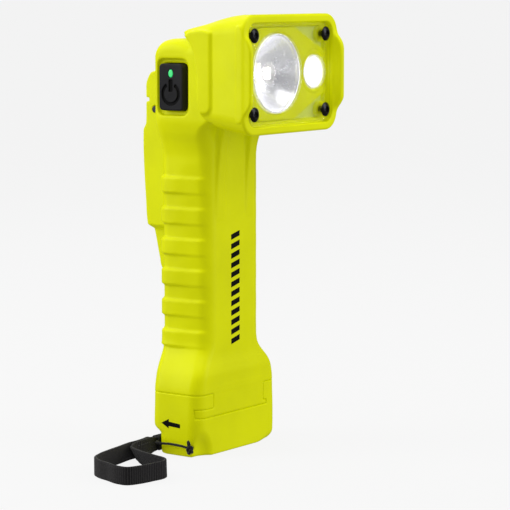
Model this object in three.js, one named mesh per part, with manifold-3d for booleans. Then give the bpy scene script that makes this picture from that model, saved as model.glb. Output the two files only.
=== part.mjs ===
// Right-angle firefighter's flashlight: a flat ribbed handle on a flared base, a wide
// twin-beam head, a side push button, a sprung rear clip and a wrist lanyard.
// Units are millimetres. +Z is up, the beam leaves along -Y, the clip is on +Y and the
// button on -X. The origin is the middle of the base, on the surface it stands on.

import * as THREE from 'three';
import { mergeVertices } from 'three/addons/utils/BufferGeometryUtils.js';
import Module from 'manifold-3d';

const wasm = await Module();
wasm.setup();
const { Manifold, Mesh: SolidMesh } = wasm;

// ---------------------------------------------------------------- driving dimensions

const HEIGHT = 205;               // base to the top of the head
const GAP = 0.3;                  // clearance between pieces that meet

const HANDLE_HALF_WIDTH = 22.3;   // in the valleys between the grip ribs
const HANDLE_FRONT = -14;
const HANDLE_REAR = 14;
const HANDLE_CORNER = 6;
const RIB_PROUD = 1.2;
const RIB_HEIGHT = 7.3;
const RIB_PITCH = 14.4;
const RIB_COUNT = 6;
const FIRST_RIB_Z = 53.6;
const HANDLE_WALL = 2.3;

const BASE_HALF_WIDTH = 31.6;
const BASE_FRONT = -16;
const BASE_REAR = 13;
const BASE_CORNER = 6.5;
const SHOULDER_Z = 29;            // underside of the handle where the tail cap meets it

const RAIL_HALF_WIDTH = 19.8;     // inverted-T rail that the tail cap slides on
const RAIL_BOTTOM = 18.2;
const RAIL_REAR = 9;
const WIDE_FOOT_TOP = 22.3;
const WIDE_FOOT_REACH = 30.3;
const SMALL_FOOT_TOP = 20.3;
const SMALL_FOOT_REACH = 22.2;

const CAP_SET_IN = 4;             // the rear of the cap steps in near the floor
const CAP_SET_IN_TOP = 9.5;

const TOWER_HALF_WIDTH = 26.5;
const TOWER_REAR = 16;
const TOWER_FRONT = -20;
const TOWER_TOP = 193.6;
const TOWER_CORNER = 7;
const TOWER_NOSE = 2.5;           // corner radius of the part that plugs into the head

const HEAD_HALF_WIDTH = 37.5;     // at the front rim
const HEAD_BOTTOM = 150.7;
const HEAD_FRONT = -46.3;
const EAR_FRONT = -50.3;          // guards each side of the lens
const EAR_ROOT = 33.8;            // inner face of the guards where they leave the rim
const EAR_TIP = 35.5;             // and at their front edge
const CHEEK_HALF_WIDTH = 34.8;    // raised panels on the sides of the head

const LENS_HALF_WIDTH = 33;
const LENS_BOTTOM = 154.8;
const LENS_TOP = 201;
const LENS_FACE = -45.3;
const LENS_THICKNESS = 2.2;
const LENS_CORNER = 5;
const DECK_Y = -41;               // floor of the pocket behind the lens

const MAIN_X = -6.7;              // spot beam
const FLOOD_X = 22.9;             // flood beam
const BEAM_Z = 178;
const MAIN_MOUTH_RADIUS = 17;
const MAIN_RIM_RADIUS = 18.3;
const FLOOD_MOUTH_RADIUS = 6.8;
const FLOOD_RIM_RADIUS = 8;
const CARRIER_MAIN_RADIUS = 25;
const CARRIER_FLOOD_RADIUS = 12.6;

const SCREW_X = 28.2;
const SCREW_LOW_Z = 160.3;
const SCREW_HIGH_Z = 195.6;
const SCREW_HEAD_RADIUS = 3.5;
const SCREW_SHANK_RADIUS = 1.4;

const BUTTON_Y = 2.6;
const BUTTON_Z = 171.4;
const BUTTON_WIDTH = 13.8;
const BUTTON_HEIGHT = 21.6;
const BUTTON_FACE = -27.6;
const BUTTON_CORNER = 2;
const SIGN_Z = 168.2;             // power sign: a broken ring with an upright bar in its gap
const SIGN_OUTER_RADIUS = 5.4;
const SIGN_INNER_RADIUS = 3.8;
const SIGN_BAR_HALF_WIDTH = 1.15;
const SIGN_BAR_HEIGHT = 6.7;      // from the middle of the ring to the top of the bar
const SIGN_DEPTH = 0.4;
const INDICATOR_Z = 177.7;
const INDICATOR_HALF_WIDTH = 1.25;
const INDICATOR_HALF_HEIGHT = 1.8;

const CLIP_PIN_Y = 22.5;
const CLIP_PIN_Z = 160;
const CLIP_SCREW_Z = [152, 168];
const CLIP_HALF_WIDTH = 14;
const TONGUE_HALF_WIDTH = 10;
const TONGUE_TOP = 104;

const CELL_RADIUS = 7.1;
const CELL_LENGTH = 50.2;
const CELL_X = 7.7;
const CELL_Y = -2;
const TRAY_HALF_WIDTH = 16.2;
const TRAY_FRONT = -10.2;
const TRAY_REAR = 6.2;

const LANYARD_HOLE_LEAN = 0.369;   // angle from the X axis, towards the front at its outer end
const LANYARD_HOLE_CENTRE = [-27.4, -9.9, 4.7];
const LANYARD_HOLE_LENGTH = 12;
const LANYARD_HOLE_RADIUS = 1.5;
const CORD_RADIUS = 0.6;
const STRAP_WIDTH = 8.3;
const STRAP_THICKNESS = 1.3;

// ------------------------------------------------------------------------ materials

const material = (color, roughness, metalness = 0, extra = {}) =>
  new THREE.MeshStandardMaterial({ color, roughness, metalness, ...extra });

const yellow = material(0xd6e200, 0.42);
const clearPlastic = material(0xeef3ea, 0.08, 0, { transparent: true, opacity: 0.35 });
const blackRubber = material(0x2c2d2f, 0.7);
const blackPlastic = material(0x1c1c1e, 0.5);
const blackSteel = material(0x101012, 0.28, 0.6);
const steel = material(0xb8babd, 0.3, 1);
const silvered = material(0xe6e8ea, 0.08, 1);
const aluminium = material(0xa9acb0, 0.45, 1);
const board = material(0x1f6b3a, 0.55);
const whiteBoard = material(0xe9e9e4, 0.5);
const phosphor = material(0xf3e27a, 0.4, 0, { emissive: 0xfff4c8 });
const frosted = material(0xf4f4f0, 0.6);
const greenLens = material(0x3ad070, 0.3, 0, { emissive: 0x1fae50 });
const cellJacket = material(0x3a3f46, 0.35, 0.3);
const webbing = material(0x323033, 0.9);

// ---------------------------------------------------------------- solids and shapes

// Any closed geometry as a solid, turned right side out if its faces point inwards.
function toSolid(geometry) {
  const bare = geometry.clone();
  for (const name of Object.keys(bare.attributes)) {
    if (name !== 'position') bare.deleteAttribute(name);
  }
  const merged = mergeVertices(bare, 1e-4);
  const vertProperties = new Float32Array(merged.attributes.position.array);
  const triVerts = new Uint32Array(merged.index.array);
  const solid = new Manifold(new SolidMesh({ numProp: 3, vertProperties, triVerts }));
  if (solid.volume() > 0) return solid;
  triVerts.reverse();
  return new Manifold(new SolidMesh({ numProp: 3, vertProperties, triVerts }));
}

function toGeometry(solid) {
  const { vertProperties, triVerts, numProp } = solid.getMesh();
  const count = vertProperties.length / numProp;
  const positions = new Float32Array(count * 3);
  for (let i = 0; i < count; i += 1) {
    positions.set(vertProperties.subarray(i * numProp, i * numProp + 3), i * 3);
  }
  const geometry = new THREE.BufferGeometry();
  geometry.setAttribute('position', new THREE.BufferAttribute(positions, 3));
  geometry.setIndex(new THREE.BufferAttribute(new Uint32Array(triVerts), 1));
  geometry.computeVertexNormals();
  return geometry;
}

const union = (...solids) => solids.reduce((whole, next) => whole.add(next));
const cut = (solid, ...tools) => tools.reduce((rest, tool) => rest.subtract(tool), solid);

function block(x0, x1, y0, y1, z0, z1) {
  const geometry = new THREE.BoxGeometry(x1 - x0, y1 - y0, z1 - z0);
  geometry.translate((x0 + x1) / 2, (y0 + y1) / 2, (z0 + z1) / 2);
  return toSolid(geometry);
}

// A cylinder along one axis ('x', 'y' or 'z') between two places on it.
function rod(axis, from, to, radius, centre, sides = 24) {
  const geometry = new THREE.CylinderGeometry(radius, radius, to - from, sides);
  const middle = (from + to) / 2;
  if (axis === 'x') geometry.rotateZ(Math.PI / 2).translate(middle, centre[0], centre[1]);
  if (axis === 'y') geometry.translate(centre[0], middle, centre[1]);
  if (axis === 'z') geometry.rotateX(Math.PI / 2).translate(centre[0], centre[1], middle);
  return toSolid(geometry);
}

// A profile of [radius, distance] points turned about an axis parallel to Y, where the
// distance is measured along +Y.
function turned(profile, centre, sides = 32) {
  const points = profile.map(([radius, distance]) => new THREE.Vector2(radius, distance));
  const geometry = new THREE.LatheGeometry(points, sides);
  geometry.translate(centre[0], 0, centre[1]);
  return toSolid(geometry);
}

function roundedRect(x0, x1, y0, y1, radius) {
  const shape = new THREE.Shape();
  shape.moveTo(x0 + radius, y0);
  shape.lineTo(x1 - radius, y0);
  shape.absarc(x1 - radius, y0 + radius, radius, -Math.PI / 2, 0, false);
  shape.lineTo(x1, y1 - radius);
  shape.absarc(x1 - radius, y1 - radius, radius, 0, Math.PI / 2, false);
  shape.lineTo(x0 + radius, y1);
  shape.absarc(x0 + radius, y1 - radius, radius, Math.PI / 2, Math.PI, false);
  shape.lineTo(x0, y0 + radius);
  shape.absarc(x0 + radius, y0 + radius, radius, Math.PI, 1.5 * Math.PI, false);
  return shape;
}

// Two circles joined by their outer tangents.
function teardrop(x0, radius0, x1, radius1, y) {
  const lean = Math.acos((radius0 - radius1) / Math.abs(x1 - x0));
  const shape = new THREE.Shape();
  shape.absarc(x0, y, radius0, lean, 2 * Math.PI - lean, false);
  shape.absarc(x1, y, radius1, -lean, lean, false);
  return shape;
}

function polygon(points) {
  return new THREE.Shape(points.map(([u, v]) => new THREE.Vector2(u, v)));
}

// Extrusions of a shape drawn in the XZ plane along Y, in YZ along X, or in XY along Z.
function alongY(shape, y0, y1, curveSegments = 6) {
  const geometry = new THREE.ExtrudeGeometry(shape, {
    depth: y1 - y0, bevelEnabled: false, curveSegments,
  });
  geometry.rotateX(Math.PI / 2).translate(0, y1, 0);
  return toSolid(geometry);
}

function alongX(shape, x0, x1, curveSegments = 6) {
  const geometry = new THREE.ExtrudeGeometry(shape, {
    depth: x1 - x0, bevelEnabled: false, curveSegments,
  });
  const turn = new THREE.Matrix4().makeBasis(
    new THREE.Vector3(0, 1, 0), new THREE.Vector3(0, 0, 1), new THREE.Vector3(1, 0, 0));
  geometry.applyMatrix4(turn).translate(x0, 0, 0);
  return toSolid(geometry);
}

function alongZ(shape, z0, z1, curveSegments = 6) {
  const geometry = new THREE.ExtrudeGeometry(shape, {
    depth: z1 - z0, bevelEnabled: false, curveSegments,
  });
  geometry.translate(0, 0, z0);
  return toSolid(geometry);
}

// The outline of a rounded rectangle, counter-clockwise, always with the same number of
// points, so that outlines can be joined into a loft.
const CORNER_STEPS = 4;
function outline(halfWidth, v0, v1, highRadius, lowRadius = highRadius) {
  const points = [];
  const corners = [
    [halfWidth - lowRadius, v0 + lowRadius, lowRadius, -Math.PI / 2],
    [halfWidth - highRadius, v1 - highRadius, highRadius, 0],
    [-halfWidth + highRadius, v1 - highRadius, highRadius, Math.PI / 2],
    [-halfWidth + lowRadius, v0 + lowRadius, lowRadius, Math.PI],
  ];
  for (const [cu, cv, radius, start] of corners) {
    for (let i = 0; i <= CORNER_STEPS; i += 1) {
      const angle = start + (i / CORNER_STEPS) * (Math.PI / 2);
      points.push([cu + radius * Math.cos(angle), cv + radius * Math.sin(angle)]);
    }
  }
  return points;
}

// Joins rings of points into one closed skin, with a flat fan at each end.
function loft(rings) {
  const count = rings[0].length;
  const positions = rings.flat(2);
  const index = [];
  for (let k = 0; k + 1 < rings.length; k += 1) {
    for (let i = 0; i < count; i += 1) {
      const a = k * count + i;
      const b = k * count + ((i + 1) % count);
      index.push(a, b, b + count, a, b + count, a + count);
    }
  }
  const last = (rings.length - 1) * count;
  for (let i = 1; i + 1 < count; i += 1) {
    index.push(0, i + 1, i, last, last + i, last + i + 1);
  }
  const geometry = new THREE.BufferGeometry();
  geometry.setAttribute('position', new THREE.Float32BufferAttribute(positions, 3));
  geometry.setIndex(index);
  return geometry;
}

// A level of a loft: where it is, its half width in X, its low and high edges and its
// corner radius, with a second radius for the low corners where they differ.
const level = (at, halfWidth, low, high, corner, lowCorner = corner) =>
  ({ at, halfWidth, low, high, corner, lowCorner });

// Lofts stacked along Z (low and high are Y) or along Y (low and high are Z).
function loftAlongZ(levels) {
  const rings = levels.map(({ at, halfWidth, low, high, corner, lowCorner }) =>
    outline(halfWidth, low, high, corner, lowCorner).map(([x, y]) => [x, y, at]));
  return toSolid(loft(rings));
}

function loftAlongY(levels) {
  const rings = levels.map(({ at, halfWidth, low, high, corner, lowCorner }) =>
    outline(halfWidth, low, high, corner, lowCorner).map(([x, z]) => [x, at, z]));
  return toSolid(loft(rings));
}

// A round wire along a smooth curve through points.
function wire(points, radius, sides, steps) {
  const circle = new THREE.Shape();
  circle.absarc(0, 0, radius, 0, 2 * Math.PI, false);
  const path = new THREE.CatmullRomCurve3(points.map((p) => new THREE.Vector3(...p)));
  const geometry = new THREE.ExtrudeGeometry(circle, {
    steps, extrudePath: path, curveSegments: sides / 2, bevelEnabled: false,
  });
  return toSolid(geometry);
}

function helix(centre, radius, axis, start, length, turns, wireRadius) {
  const points = [];
  const perTurn = 9;
  for (let i = 0; i <= turns * perTurn; i += 1) {
    const angle = (i / perTurn) * 2 * Math.PI;
    const along = start + (length * i) / (turns * perTurn);
    const u = centre[0] + radius * Math.cos(angle);
    const v = centre[1] + radius * Math.sin(angle);
    points.push(axis === 'z' ? [u, v, along] : [along, u, v]);
  }
  return wire(points, wireRadius, 6, turns * perTurn);
}

// ------------------------------------------------------------------- handle and tower

function ribLevels() {
  const levels = [];
  for (let i = 0; i < RIB_COUNT; i += 1) {
    const middle = FIRST_RIB_Z + i * RIB_PITCH;
    const proud = HANDLE_HALF_WIDTH + RIB_PROUD;
    for (const [offset, halfWidth] of [
      [-RIB_HEIGHT / 2 - 0.8, HANDLE_HALF_WIDTH], [-RIB_HEIGHT / 2 + 0.8, proud],
      [RIB_HEIGHT / 2 - 0.8, proud], [RIB_HEIGHT / 2 + 0.8, HANDLE_HALF_WIDTH],
    ]) {
      levels.push(level(middle + offset, halfWidth, HANDLE_FRONT, HANDLE_REAR, HANDLE_CORNER));
    }
  }
  return levels;
}

function handleOutside() {
  return loftAlongZ([
    level(SHOULDER_Z, BASE_HALF_WIDTH - 0.3, BASE_FRONT, BASE_REAR, BASE_CORNER),
    level(33, BASE_HALF_WIDTH - 0.7, BASE_FRONT + 0.1, BASE_REAR, BASE_CORNER),
    level(38, 29.5, -15.5, 13.2, BASE_CORNER),
    level(43, 26.6, -14.8, 13.6, HANDLE_CORNER),
    level(47.5, 23.6, -14.2, 13.9, HANDLE_CORNER),
    ...ribLevels(),
    level(138, HANDLE_HALF_WIDTH, HANDLE_FRONT, HANDLE_REAR, HANDLE_CORNER),
    level(145, 23.4, HANDLE_FRONT, 14.4, HANDLE_CORNER),
    level(151, 25.4, HANDLE_FRONT - 0.4, 15.3, TOWER_CORNER, HANDLE_CORNER),
    level(158, TOWER_HALF_WIDTH, TOWER_FRONT, TOWER_REAR, TOWER_CORNER, TOWER_NOSE),
    level(186, TOWER_HALF_WIDTH, TOWER_FRONT, TOWER_REAR, TOWER_CORNER, TOWER_NOSE),
    level(190, TOWER_HALF_WIDTH - 1, TOWER_FRONT, TOWER_REAR - 1, TOWER_CORNER, TOWER_NOSE),
    level(192.6, TOWER_HALF_WIDTH - 3.4, TOWER_FRONT, TOWER_REAR - 3.4, 6, TOWER_NOSE),
    level(TOWER_TOP, TOWER_HALF_WIDTH - 7, TOWER_FRONT, TOWER_REAR - 7, 4, TOWER_NOSE),
  ]);
}

function capOutside() {
  const rear = BASE_REAR - CAP_SET_IN;
  return loftAlongZ([
    level(0, BASE_HALF_WIDTH - 1.6, BASE_FRONT + 1.2, rear - 1.4, 5.5),
    level(1.4, BASE_HALF_WIDTH - 0.3, BASE_FRONT + 0.2, rear - 0.3, BASE_CORNER),
    level(3.5, BASE_HALF_WIDTH, BASE_FRONT, rear, BASE_CORNER),
    level(CAP_SET_IN_TOP, BASE_HALF_WIDTH + 0.2, BASE_FRONT, rear + 0.2, BASE_CORNER),
    level(12.5, BASE_HALF_WIDTH + 0.2, BASE_FRONT, BASE_REAR - 0.4, BASE_CORNER),
    level(14.5, BASE_HALF_WIDTH + 0.2, BASE_FRONT, BASE_REAR, BASE_CORNER),
    level(SHOULDER_Z - GAP, BASE_HALF_WIDTH - 0.3, BASE_FRONT, BASE_REAR, BASE_CORNER),
  ]);
}

// The rail and its two feet, grown by a clearance and run out through the front when it
// serves as the tool that cuts the tail cap's slot.
function rail(grow, front) {
  const low = RAIL_BOTTOM - grow;
  const rear = RAIL_REAR + grow;
  const top = SHOULDER_Z + 3;
  return union(
    block(-RAIL_HALF_WIDTH - grow, RAIL_HALF_WIDTH + grow, front, rear, low, top),
    block(-WIDE_FOOT_REACH - grow, 0, front, rear, low, WIDE_FOOT_TOP + grow),
    block(0, SMALL_FOOT_REACH + grow, front, rear, low, SMALL_FOOT_TOP + grow),
  );
}

function neckGussets() {
  const side = polygon([
    [-12, 112], [-13.6, 114], [-14.6, 128], [-16.2, 143], [-17.5, 152.5], [-12, 152.5],
  ]);
  return [-1, 1].map((hand) => alongX(side, hand * 11.5 - 3, hand * 11.5 + 3));
}

function handleInside() {
  const wide = HANDLE_HALF_WIDTH - HANDLE_WALL;
  const front = HANDLE_FRONT + HANDLE_WALL;
  const rear = HANDLE_REAR - HANDLE_WALL;
  const shaft = loftAlongZ([
    level(SHOULDER_Z + 3, wide, front, rear, 4),
    level(146, wide, front, rear, 4),
    level(153, TOWER_HALF_WIDTH - 5.8, front, 13, 4),
    level(161, TOWER_HALF_WIDTH - 5.5, -17.6, 13.4, 4),
    level(187, TOWER_HALF_WIDTH - 5.5, -17.6, 13.4, 4),
    level(190.5, TOWER_HALF_WIDTH - 8, -17.6, 10, 4),
  ]);
  const bore = alongZ(
    roundedRect(-TRAY_HALF_WIDTH - 0.4, TRAY_HALF_WIDTH + 0.4,
      TRAY_FRONT - 0.4, TRAY_REAR + 0.4, 3),
    RAIL_BOTTOM - 1, SHOULDER_Z + 4);
  const window = alongY(roundedRect(-15, 15, 164, 188, 3), TOWER_FRONT - 1, -17);
  return union(shaft, bore, window);
}

function buttonRect(margin) {
  return roundedRect(
    BUTTON_Y - BUTTON_WIDTH / 2 - margin, BUTTON_Y + BUTTON_WIDTH / 2 + margin,
    BUTTON_Z - BUTTON_HEIGHT / 2 - margin, BUTTON_Z + BUTTON_HEIGHT / 2 + margin,
    BUTTON_CORNER + margin);
}

function makeHandle() {
  const foot = rail(0, BASE_FRONT - 1).intersect(baseColumn());
  const shell = union(handleOutside(), foot, ...neckGussets());
  const recess = alongX(buttonRect(2.2), -30, -TOWER_HALF_WIDTH + 2.4);
  const opening = alongX(buttonRect(GAP), -26, -20);
  const screwHoles = CLIP_SCREW_Z.map((z) => rod('y', 12, 20, 1.6, [0, z], 12));
  return cut(shell, handleInside(), recess, opening, ...screwHoles);
}

// The base's own upright outline, which trims the rail's feet at the rounded corners.
function baseColumn() {
  return loftAlongZ([
    level(RAIL_BOTTOM - 2, BASE_HALF_WIDTH, BASE_FRONT, BASE_REAR, BASE_CORNER),
    level(SHOULDER_Z + 1, BASE_HALF_WIDTH - 0.3, BASE_FRONT, BASE_REAR, BASE_CORNER),
  ]);
}

// --------------------------------------------------------------------------- tail cap

const PAD = { halfWidth: 17, front: -12.5, rear: 5.5, bottom: 9 };

function ellipsoid(centre, radii, detail = 16) {
  const geometry = new THREE.SphereGeometry(1, detail, detail / 2);
  geometry.scale(...radii).translate(...centre);
  return toSolid(geometry);
}

// The well under the rail narrows below the pressure pad, which rests on the ledge.
function capWell() {
  const ledge = 2;
  const floor = 3;
  const top = RAIL_BOTTOM + 1;
  const span = (inset, z0, z1) => block(
    -PAD.halfWidth - GAP + inset, PAD.halfWidth + GAP - inset,
    PAD.front - GAP + inset, PAD.rear + GAP - inset, z0, z1);
  return union(span(0, PAD.bottom, top), span(ledge, floor, top));
}

// A slanting hole for the cord, from the left front corner to a pocket that holds the stop
// knot and opens into the well.
function lanyardPassage() {
  const hole = new THREE.CylinderGeometry(
    LANYARD_HOLE_RADIUS, LANYARD_HOLE_RADIUS, LANYARD_HOLE_LENGTH, 16);
  hole.rotateZ(Math.PI / 2 + LANYARD_HOLE_LEAN).translate(...LANYARD_HOLE_CENTRE);
  const pocket = rod('x', -24, -15, 2.2, [-8, 5], 20);
  return union(toSolid(hole), pocket);
}

function makeTailCap() {
  const slot = rail(GAP, BASE_FRONT - 2);
  const scoop = ellipsoid([-28, -19, 1], [9, 6.6, 11], 20);
  return cut(capOutside(), slot, capWell(), scoop, lanyardPassage());
}

function makePressurePad() {
  return alongZ(roundedRect(-PAD.halfWidth, PAD.halfWidth, PAD.front, PAD.rear, 1),
    PAD.bottom, RAIL_BOTTOM - GAP);
}

// ------------------------------------------------------------------------------- head

// The rear face of the head as [y, z] points, closed around the space behind it.
const BEHIND_HEAD = [
  [0, 200], [-7.3, 200], [-7.6, 197.2], [-9.2, 195.9], [-10.7, 194.3], [-12.4, 192],
  [-14.1, 189], [-15.2, 185.8], [-15.8, 182.7], [-16.3, 179], [-16.6, 175.4], [-16.9, 166],
  [-17.4, 162.7], [-18.3, 160], [-19.7, 158.1], [-22, 156.6], [-24.2, 155.5], [-24.2, 140],
  [0, 140],
];

// The side guards seen from the side, and the rear edge and top of the cheek panels.
const EAR_SIDE = [
  [-42, 158], [-46.2, 159.4], [-47.4, 161.3], [-48.9, 163.2], [-50, 165.2],
  [EAR_FRONT, 167.2], [EAR_FRONT, 188.3], [-49.9, 190.2], [-48.6, 193.3], [-47.1, 195],
  [-46.2, 196.8], [-42, 198],
];
const CHEEK_REAR = [
  [-19.4, 160.2], [-18.6, 162.8], [-18, 166.5], [-18, 171], [-17.5, 179], [-16.9, 182.7],
  [-16.4, 185.8], [-15.3, 189], [-13.6, 192.1], [-11.8, 194.3], [-10.7, 195.9],
  [-14.1, 197.3], [-17, 197.9], [-19.8, 198.1], [-22.7, 197.8],
];

function headOutside() {
  const sections = loftAlongY([
    level(HEAD_FRONT, HEAD_HALF_WIDTH - 0.9, HEAD_BOTTOM + 0.9, HEIGHT - 0.9, 8),
    level(HEAD_FRONT + 1.2, HEAD_HALF_WIDTH, HEAD_BOTTOM, HEIGHT, 8.6),
    level(-42, HEAD_HALF_WIDTH - 0.4, 151.2, 204.8, 8.6),
    level(-30, 35, 153, 203.6, 8),
    level(-21, 33.6, 154.6, 201.2, 7),
    level(-13, 33.2, 156, 198.9, 4),
    level(-7.5, 33, 157, 197.2, 3),
  ]);
  return cut(sections, alongX(polygon(BEHIND_HEAD), -40, 40));
}

function ears() {
  const side = alongX(polygon(EAR_SIDE), -HEAD_HALF_WIDTH, HEAD_HALF_WIDTH);
  return [-1, 1].map((hand) => side.intersect(alongZ(polygon([
    [hand * HEAD_HALF_WIDTH, -41], [hand * HEAD_HALF_WIDTH, -52], [hand * EAR_TIP, -52],
    [hand * EAR_ROOT, HEAD_FRONT], [hand * EAR_ROOT, -41],
  ]), HEAD_BOTTOM, HEIGHT)));
}

// Raised upright panel on each cheek, with a rounded lower end.
function cheeks() {
  const side = new THREE.Shape();
  side.moveTo(-26, 196.9);
  side.lineTo(-26, 164);
  side.absarc(-22, 164, 4, Math.PI, 1.5 * Math.PI, false);
  for (const [y, z] of CHEEK_REAR) side.lineTo(y, z);
  return [alongX(side, -CHEEK_HALF_WIDTH, -30), alongX(side, 30, CHEEK_HALF_WIDTH)];
}

const screwPlaces = [
  [-SCREW_X, SCREW_HIGH_Z], [SCREW_X, SCREW_HIGH_Z],
  [-SCREW_X, SCREW_LOW_Z], [SCREW_X, SCREW_LOW_Z],
];

const lensRect = (margin) => roundedRect(
  -LENS_HALF_WIDTH - margin, LENS_HALF_WIDTH + margin,
  LENS_BOTTOM - margin, LENS_TOP + margin, LENS_CORNER + margin);

function makeHead() {
  const shell = union(headOutside(), ...ears(), ...cheeks());
  const lensPocket = alongY(lensRect(GAP), -52, LENS_FACE + LENS_THICKNESS + GAP);
  const deckPocket = alongY(lensRect(-1.6), -44, DECK_Y);
  const mouth = alongY(
    teardrop(MAIN_X, 20.5, FLOOD_X, 9.6, BEAM_Z), DECK_Y - 1, DECK_Y + 4, 12);
  const cavity = loftAlongY([
    level(DECK_Y + 3, 33.4, 155, 200.6, 5),
    level(-28, 32, 156.5, 199.4, 5),
    level(-19, 30, 159, 197.4, 4),
  ]);
  const towerSeat = block(-TOWER_HALF_WIDTH - GAP, TOWER_HALF_WIDTH + GAP,
    TOWER_FRONT - GAP, 0, 140, TOWER_TOP + GAP);
  const hollow = cut(shell, lensPocket, deckPocket, mouth, cavity, towerSeat);
  const bosses = screwPlaces.map((place) => rod('y', -42.8, -31, 3.8, place, 20));
  const pilots = screwPlaces.map((place) =>
    rod('y', -44, -32, SCREW_SHANK_RADIUS + GAP, place, 16));
  return cut(union(hollow, ...bosses), ...pilots);
}

function makeLens() {
  const plate = alongY(lensRect(0), LENS_FACE, LENS_FACE + LENS_THICKNESS);
  const holes = screwPlaces.map((place) =>
    rod('y', LENS_FACE - 1, -42, SCREW_SHANK_RADIUS + GAP, place, 16));
  return cut(plate, ...holes);
}

// The bright teardrop insert that carries both reflectors, trimmed to the lens pocket and
// around the screw bosses.
function makeCarrier() {
  const drop = alongY(
    teardrop(MAIN_X, CARRIER_MAIN_RADIUS, FLOOD_X, CARRIER_FLOOD_RADIUS, BEAM_Z),
    -42.7, DECK_Y - GAP, 16);
  const trimmed = drop.intersect(alongY(lensRect(-2), -44, -40));
  const holes = [
    rod('y', -44, -40, MAIN_RIM_RADIUS + GAP, [MAIN_X, BEAM_Z], 36),
    rod('y', -44, -40, FLOOD_RIM_RADIUS + GAP, [FLOOD_X, BEAM_Z], 28),
  ];
  const bosses = screwPlaces.map((place) => rod('y', -44, -40, 3.8 + GAP, place, 20));
  return cut(trimmed, ...holes, ...bosses);
}

// Parabolic spot reflector, open at the back for its LED.
function makeMainReflector() {
  const vertex = -28.6;
  const focal = 5.6;
  const wall = 1.1;
  const depthAt = (radius) => vertex - (radius * radius) / (4 * focal);
  const radii = [5, 8, 11, 14, MAIN_MOUTH_RADIUS];
  const inner = radii.map((radius) => [radius, depthAt(radius)]);
  const outer = radii.map((radius) => [radius + wall, depthAt(radius) + 0.4]).reverse();
  return turned([
    ...inner, [MAIN_MOUTH_RADIUS + 0.3, -42.3], [MAIN_RIM_RADIUS, -42.5],
    [MAIN_RIM_RADIUS, -41.2], ...outer, inner[0],
  ], [MAIN_X, BEAM_Z], 28);
}

function makeFloodReflector() {
  return turned([
    [3.4, -29.6], [FLOOD_MOUTH_RADIUS, -40.2], [FLOOD_MOUTH_RADIUS, -42.3],
    [FLOOD_RIM_RADIUS, -42.5], [FLOOD_RIM_RADIUS, -40], [4.6, -29.6], [3.4, -29.6],
  ], [FLOOD_X, BEAM_Z], 24);
}

function makeFloodDiffuser() {
  return rod('y', -42, -40.9, FLOOD_MOUTH_RADIUS - GAP, [FLOOD_X, BEAM_Z], 28);
}

function led(x, size) {
  const slab = block(x - size / 2, x + size / 2, -28.4, -27.9, BEAM_Z - size / 2,
    BEAM_Z + size / 2);
  const ball = ellipsoid([x, -28.3, BEAM_Z], [size * 0.38, size * 0.32, size * 0.38], 12);
  return union(slab, ball.intersect(block(x - size, x + size, -32, -28.3, 170, 186)));
}

function makeLedBoard() {
  return alongY(roundedRect(-20, 28, 165, 191, 2), -27.6, -26.2);
}

function makeHeatSink() {
  const plate = alongY(roundedRect(-22, 29, 163, 193, 2), -25.9, -23.4);
  const fins = [];
  for (let z = 165.5; z < 192; z += 5) {
    fins.push(block(-21, 28, -23.6, -20.8, z, z + 1.8));
  }
  return union(plate, ...fins);
}

function makeBezelScrew(place) {
  const head = turned([
    [0, LENS_FACE - 1.75], [1.4, LENS_FACE - 1.7], [2.5, LENS_FACE - 1.35],
    [3.2, LENS_FACE - 0.9], [SCREW_HEAD_RADIUS, LENS_FACE - GAP],
    [SCREW_SHANK_RADIUS, LENS_FACE - GAP], [SCREW_SHANK_RADIUS, -34], [0.6, -32.8],
    [0, -32.8],
  ], place, 16);
  const recess = rod('y', LENS_FACE - 3, LENS_FACE - 0.9, 1.35, place, 6);
  return cut(head, recess);
}

// ------------------------------------------------------------------ button and switch

// The face carries a recessed power sign.
function powerSign() {
  const gap = 0.5;
  const innerGap = gap * 1.1;
  const start = Math.PI / 2;
  const end = Math.PI * 2.5;
  const ring = new THREE.Shape();
  ring.absarc(BUTTON_Y, SIGN_Z, SIGN_OUTER_RADIUS, start + gap, end - gap, false);
  ring.absarc(BUTTON_Y, SIGN_Z, SIGN_INNER_RADIUS, end - innerGap, start + innerGap, true);
  const bar = roundedRect(BUTTON_Y - SIGN_BAR_HALF_WIDTH, BUTTON_Y + SIGN_BAR_HALF_WIDTH,
    SIGN_Z + 1, SIGN_Z + SIGN_BAR_HEIGHT, 0.5);
  const front = BUTTON_FACE - 1;
  const floor = BUTTON_FACE + SIGN_DEPTH;
  return union(alongX(ring, front, floor, 12), alongX(bar, front, floor, 3));
}

function indicatorOval(margin) {
  const oval = new THREE.Shape();
  oval.absellipse(BUTTON_Y, INDICATOR_Z, INDICATOR_HALF_WIDTH + margin,
    INDICATOR_HALF_HEIGHT + margin, 0, 2 * Math.PI, false, 0);
  return oval;
}

function makeButton() {
  const cap = alongX(buttonRect(0), BUTTON_FACE + 0.6, -20.6);
  const crown = alongX(buttonRect(-0.6), BUTTON_FACE, -24);
  const flange = alongX(buttonRect(1.4), -20.6, -19.4);
  const lampHole = alongX(indicatorOval(GAP), BUTTON_FACE - 1, -24.6, 10);
  return cut(union(cap, crown, flange), powerSign(), lampHole);
}

function makeIndicator() {
  return alongX(indicatorOval(0), BUTTON_FACE - 0.15, -24.9, 10);
}

function makePlunger() {
  return rod('x', -19.1, -16.4, 1.8, [BUTTON_Y, BUTTON_Z], 16);
}

function makeSwitchBoard() {
  const plate = alongX(roundedRect(-6, 11, 160.5, 182.5, 1.5), -12.6, -11.2);
  const dome = rod('x', -15, -12.5, 2.4, [BUTTON_Y, BUTTON_Z], 16);
  const chip = block(-14, -12.5, -1, 6, 176, 180);
  return union(plate, dome, chip);
}

// ---------------------------------------------------------------- battery and drive

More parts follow.
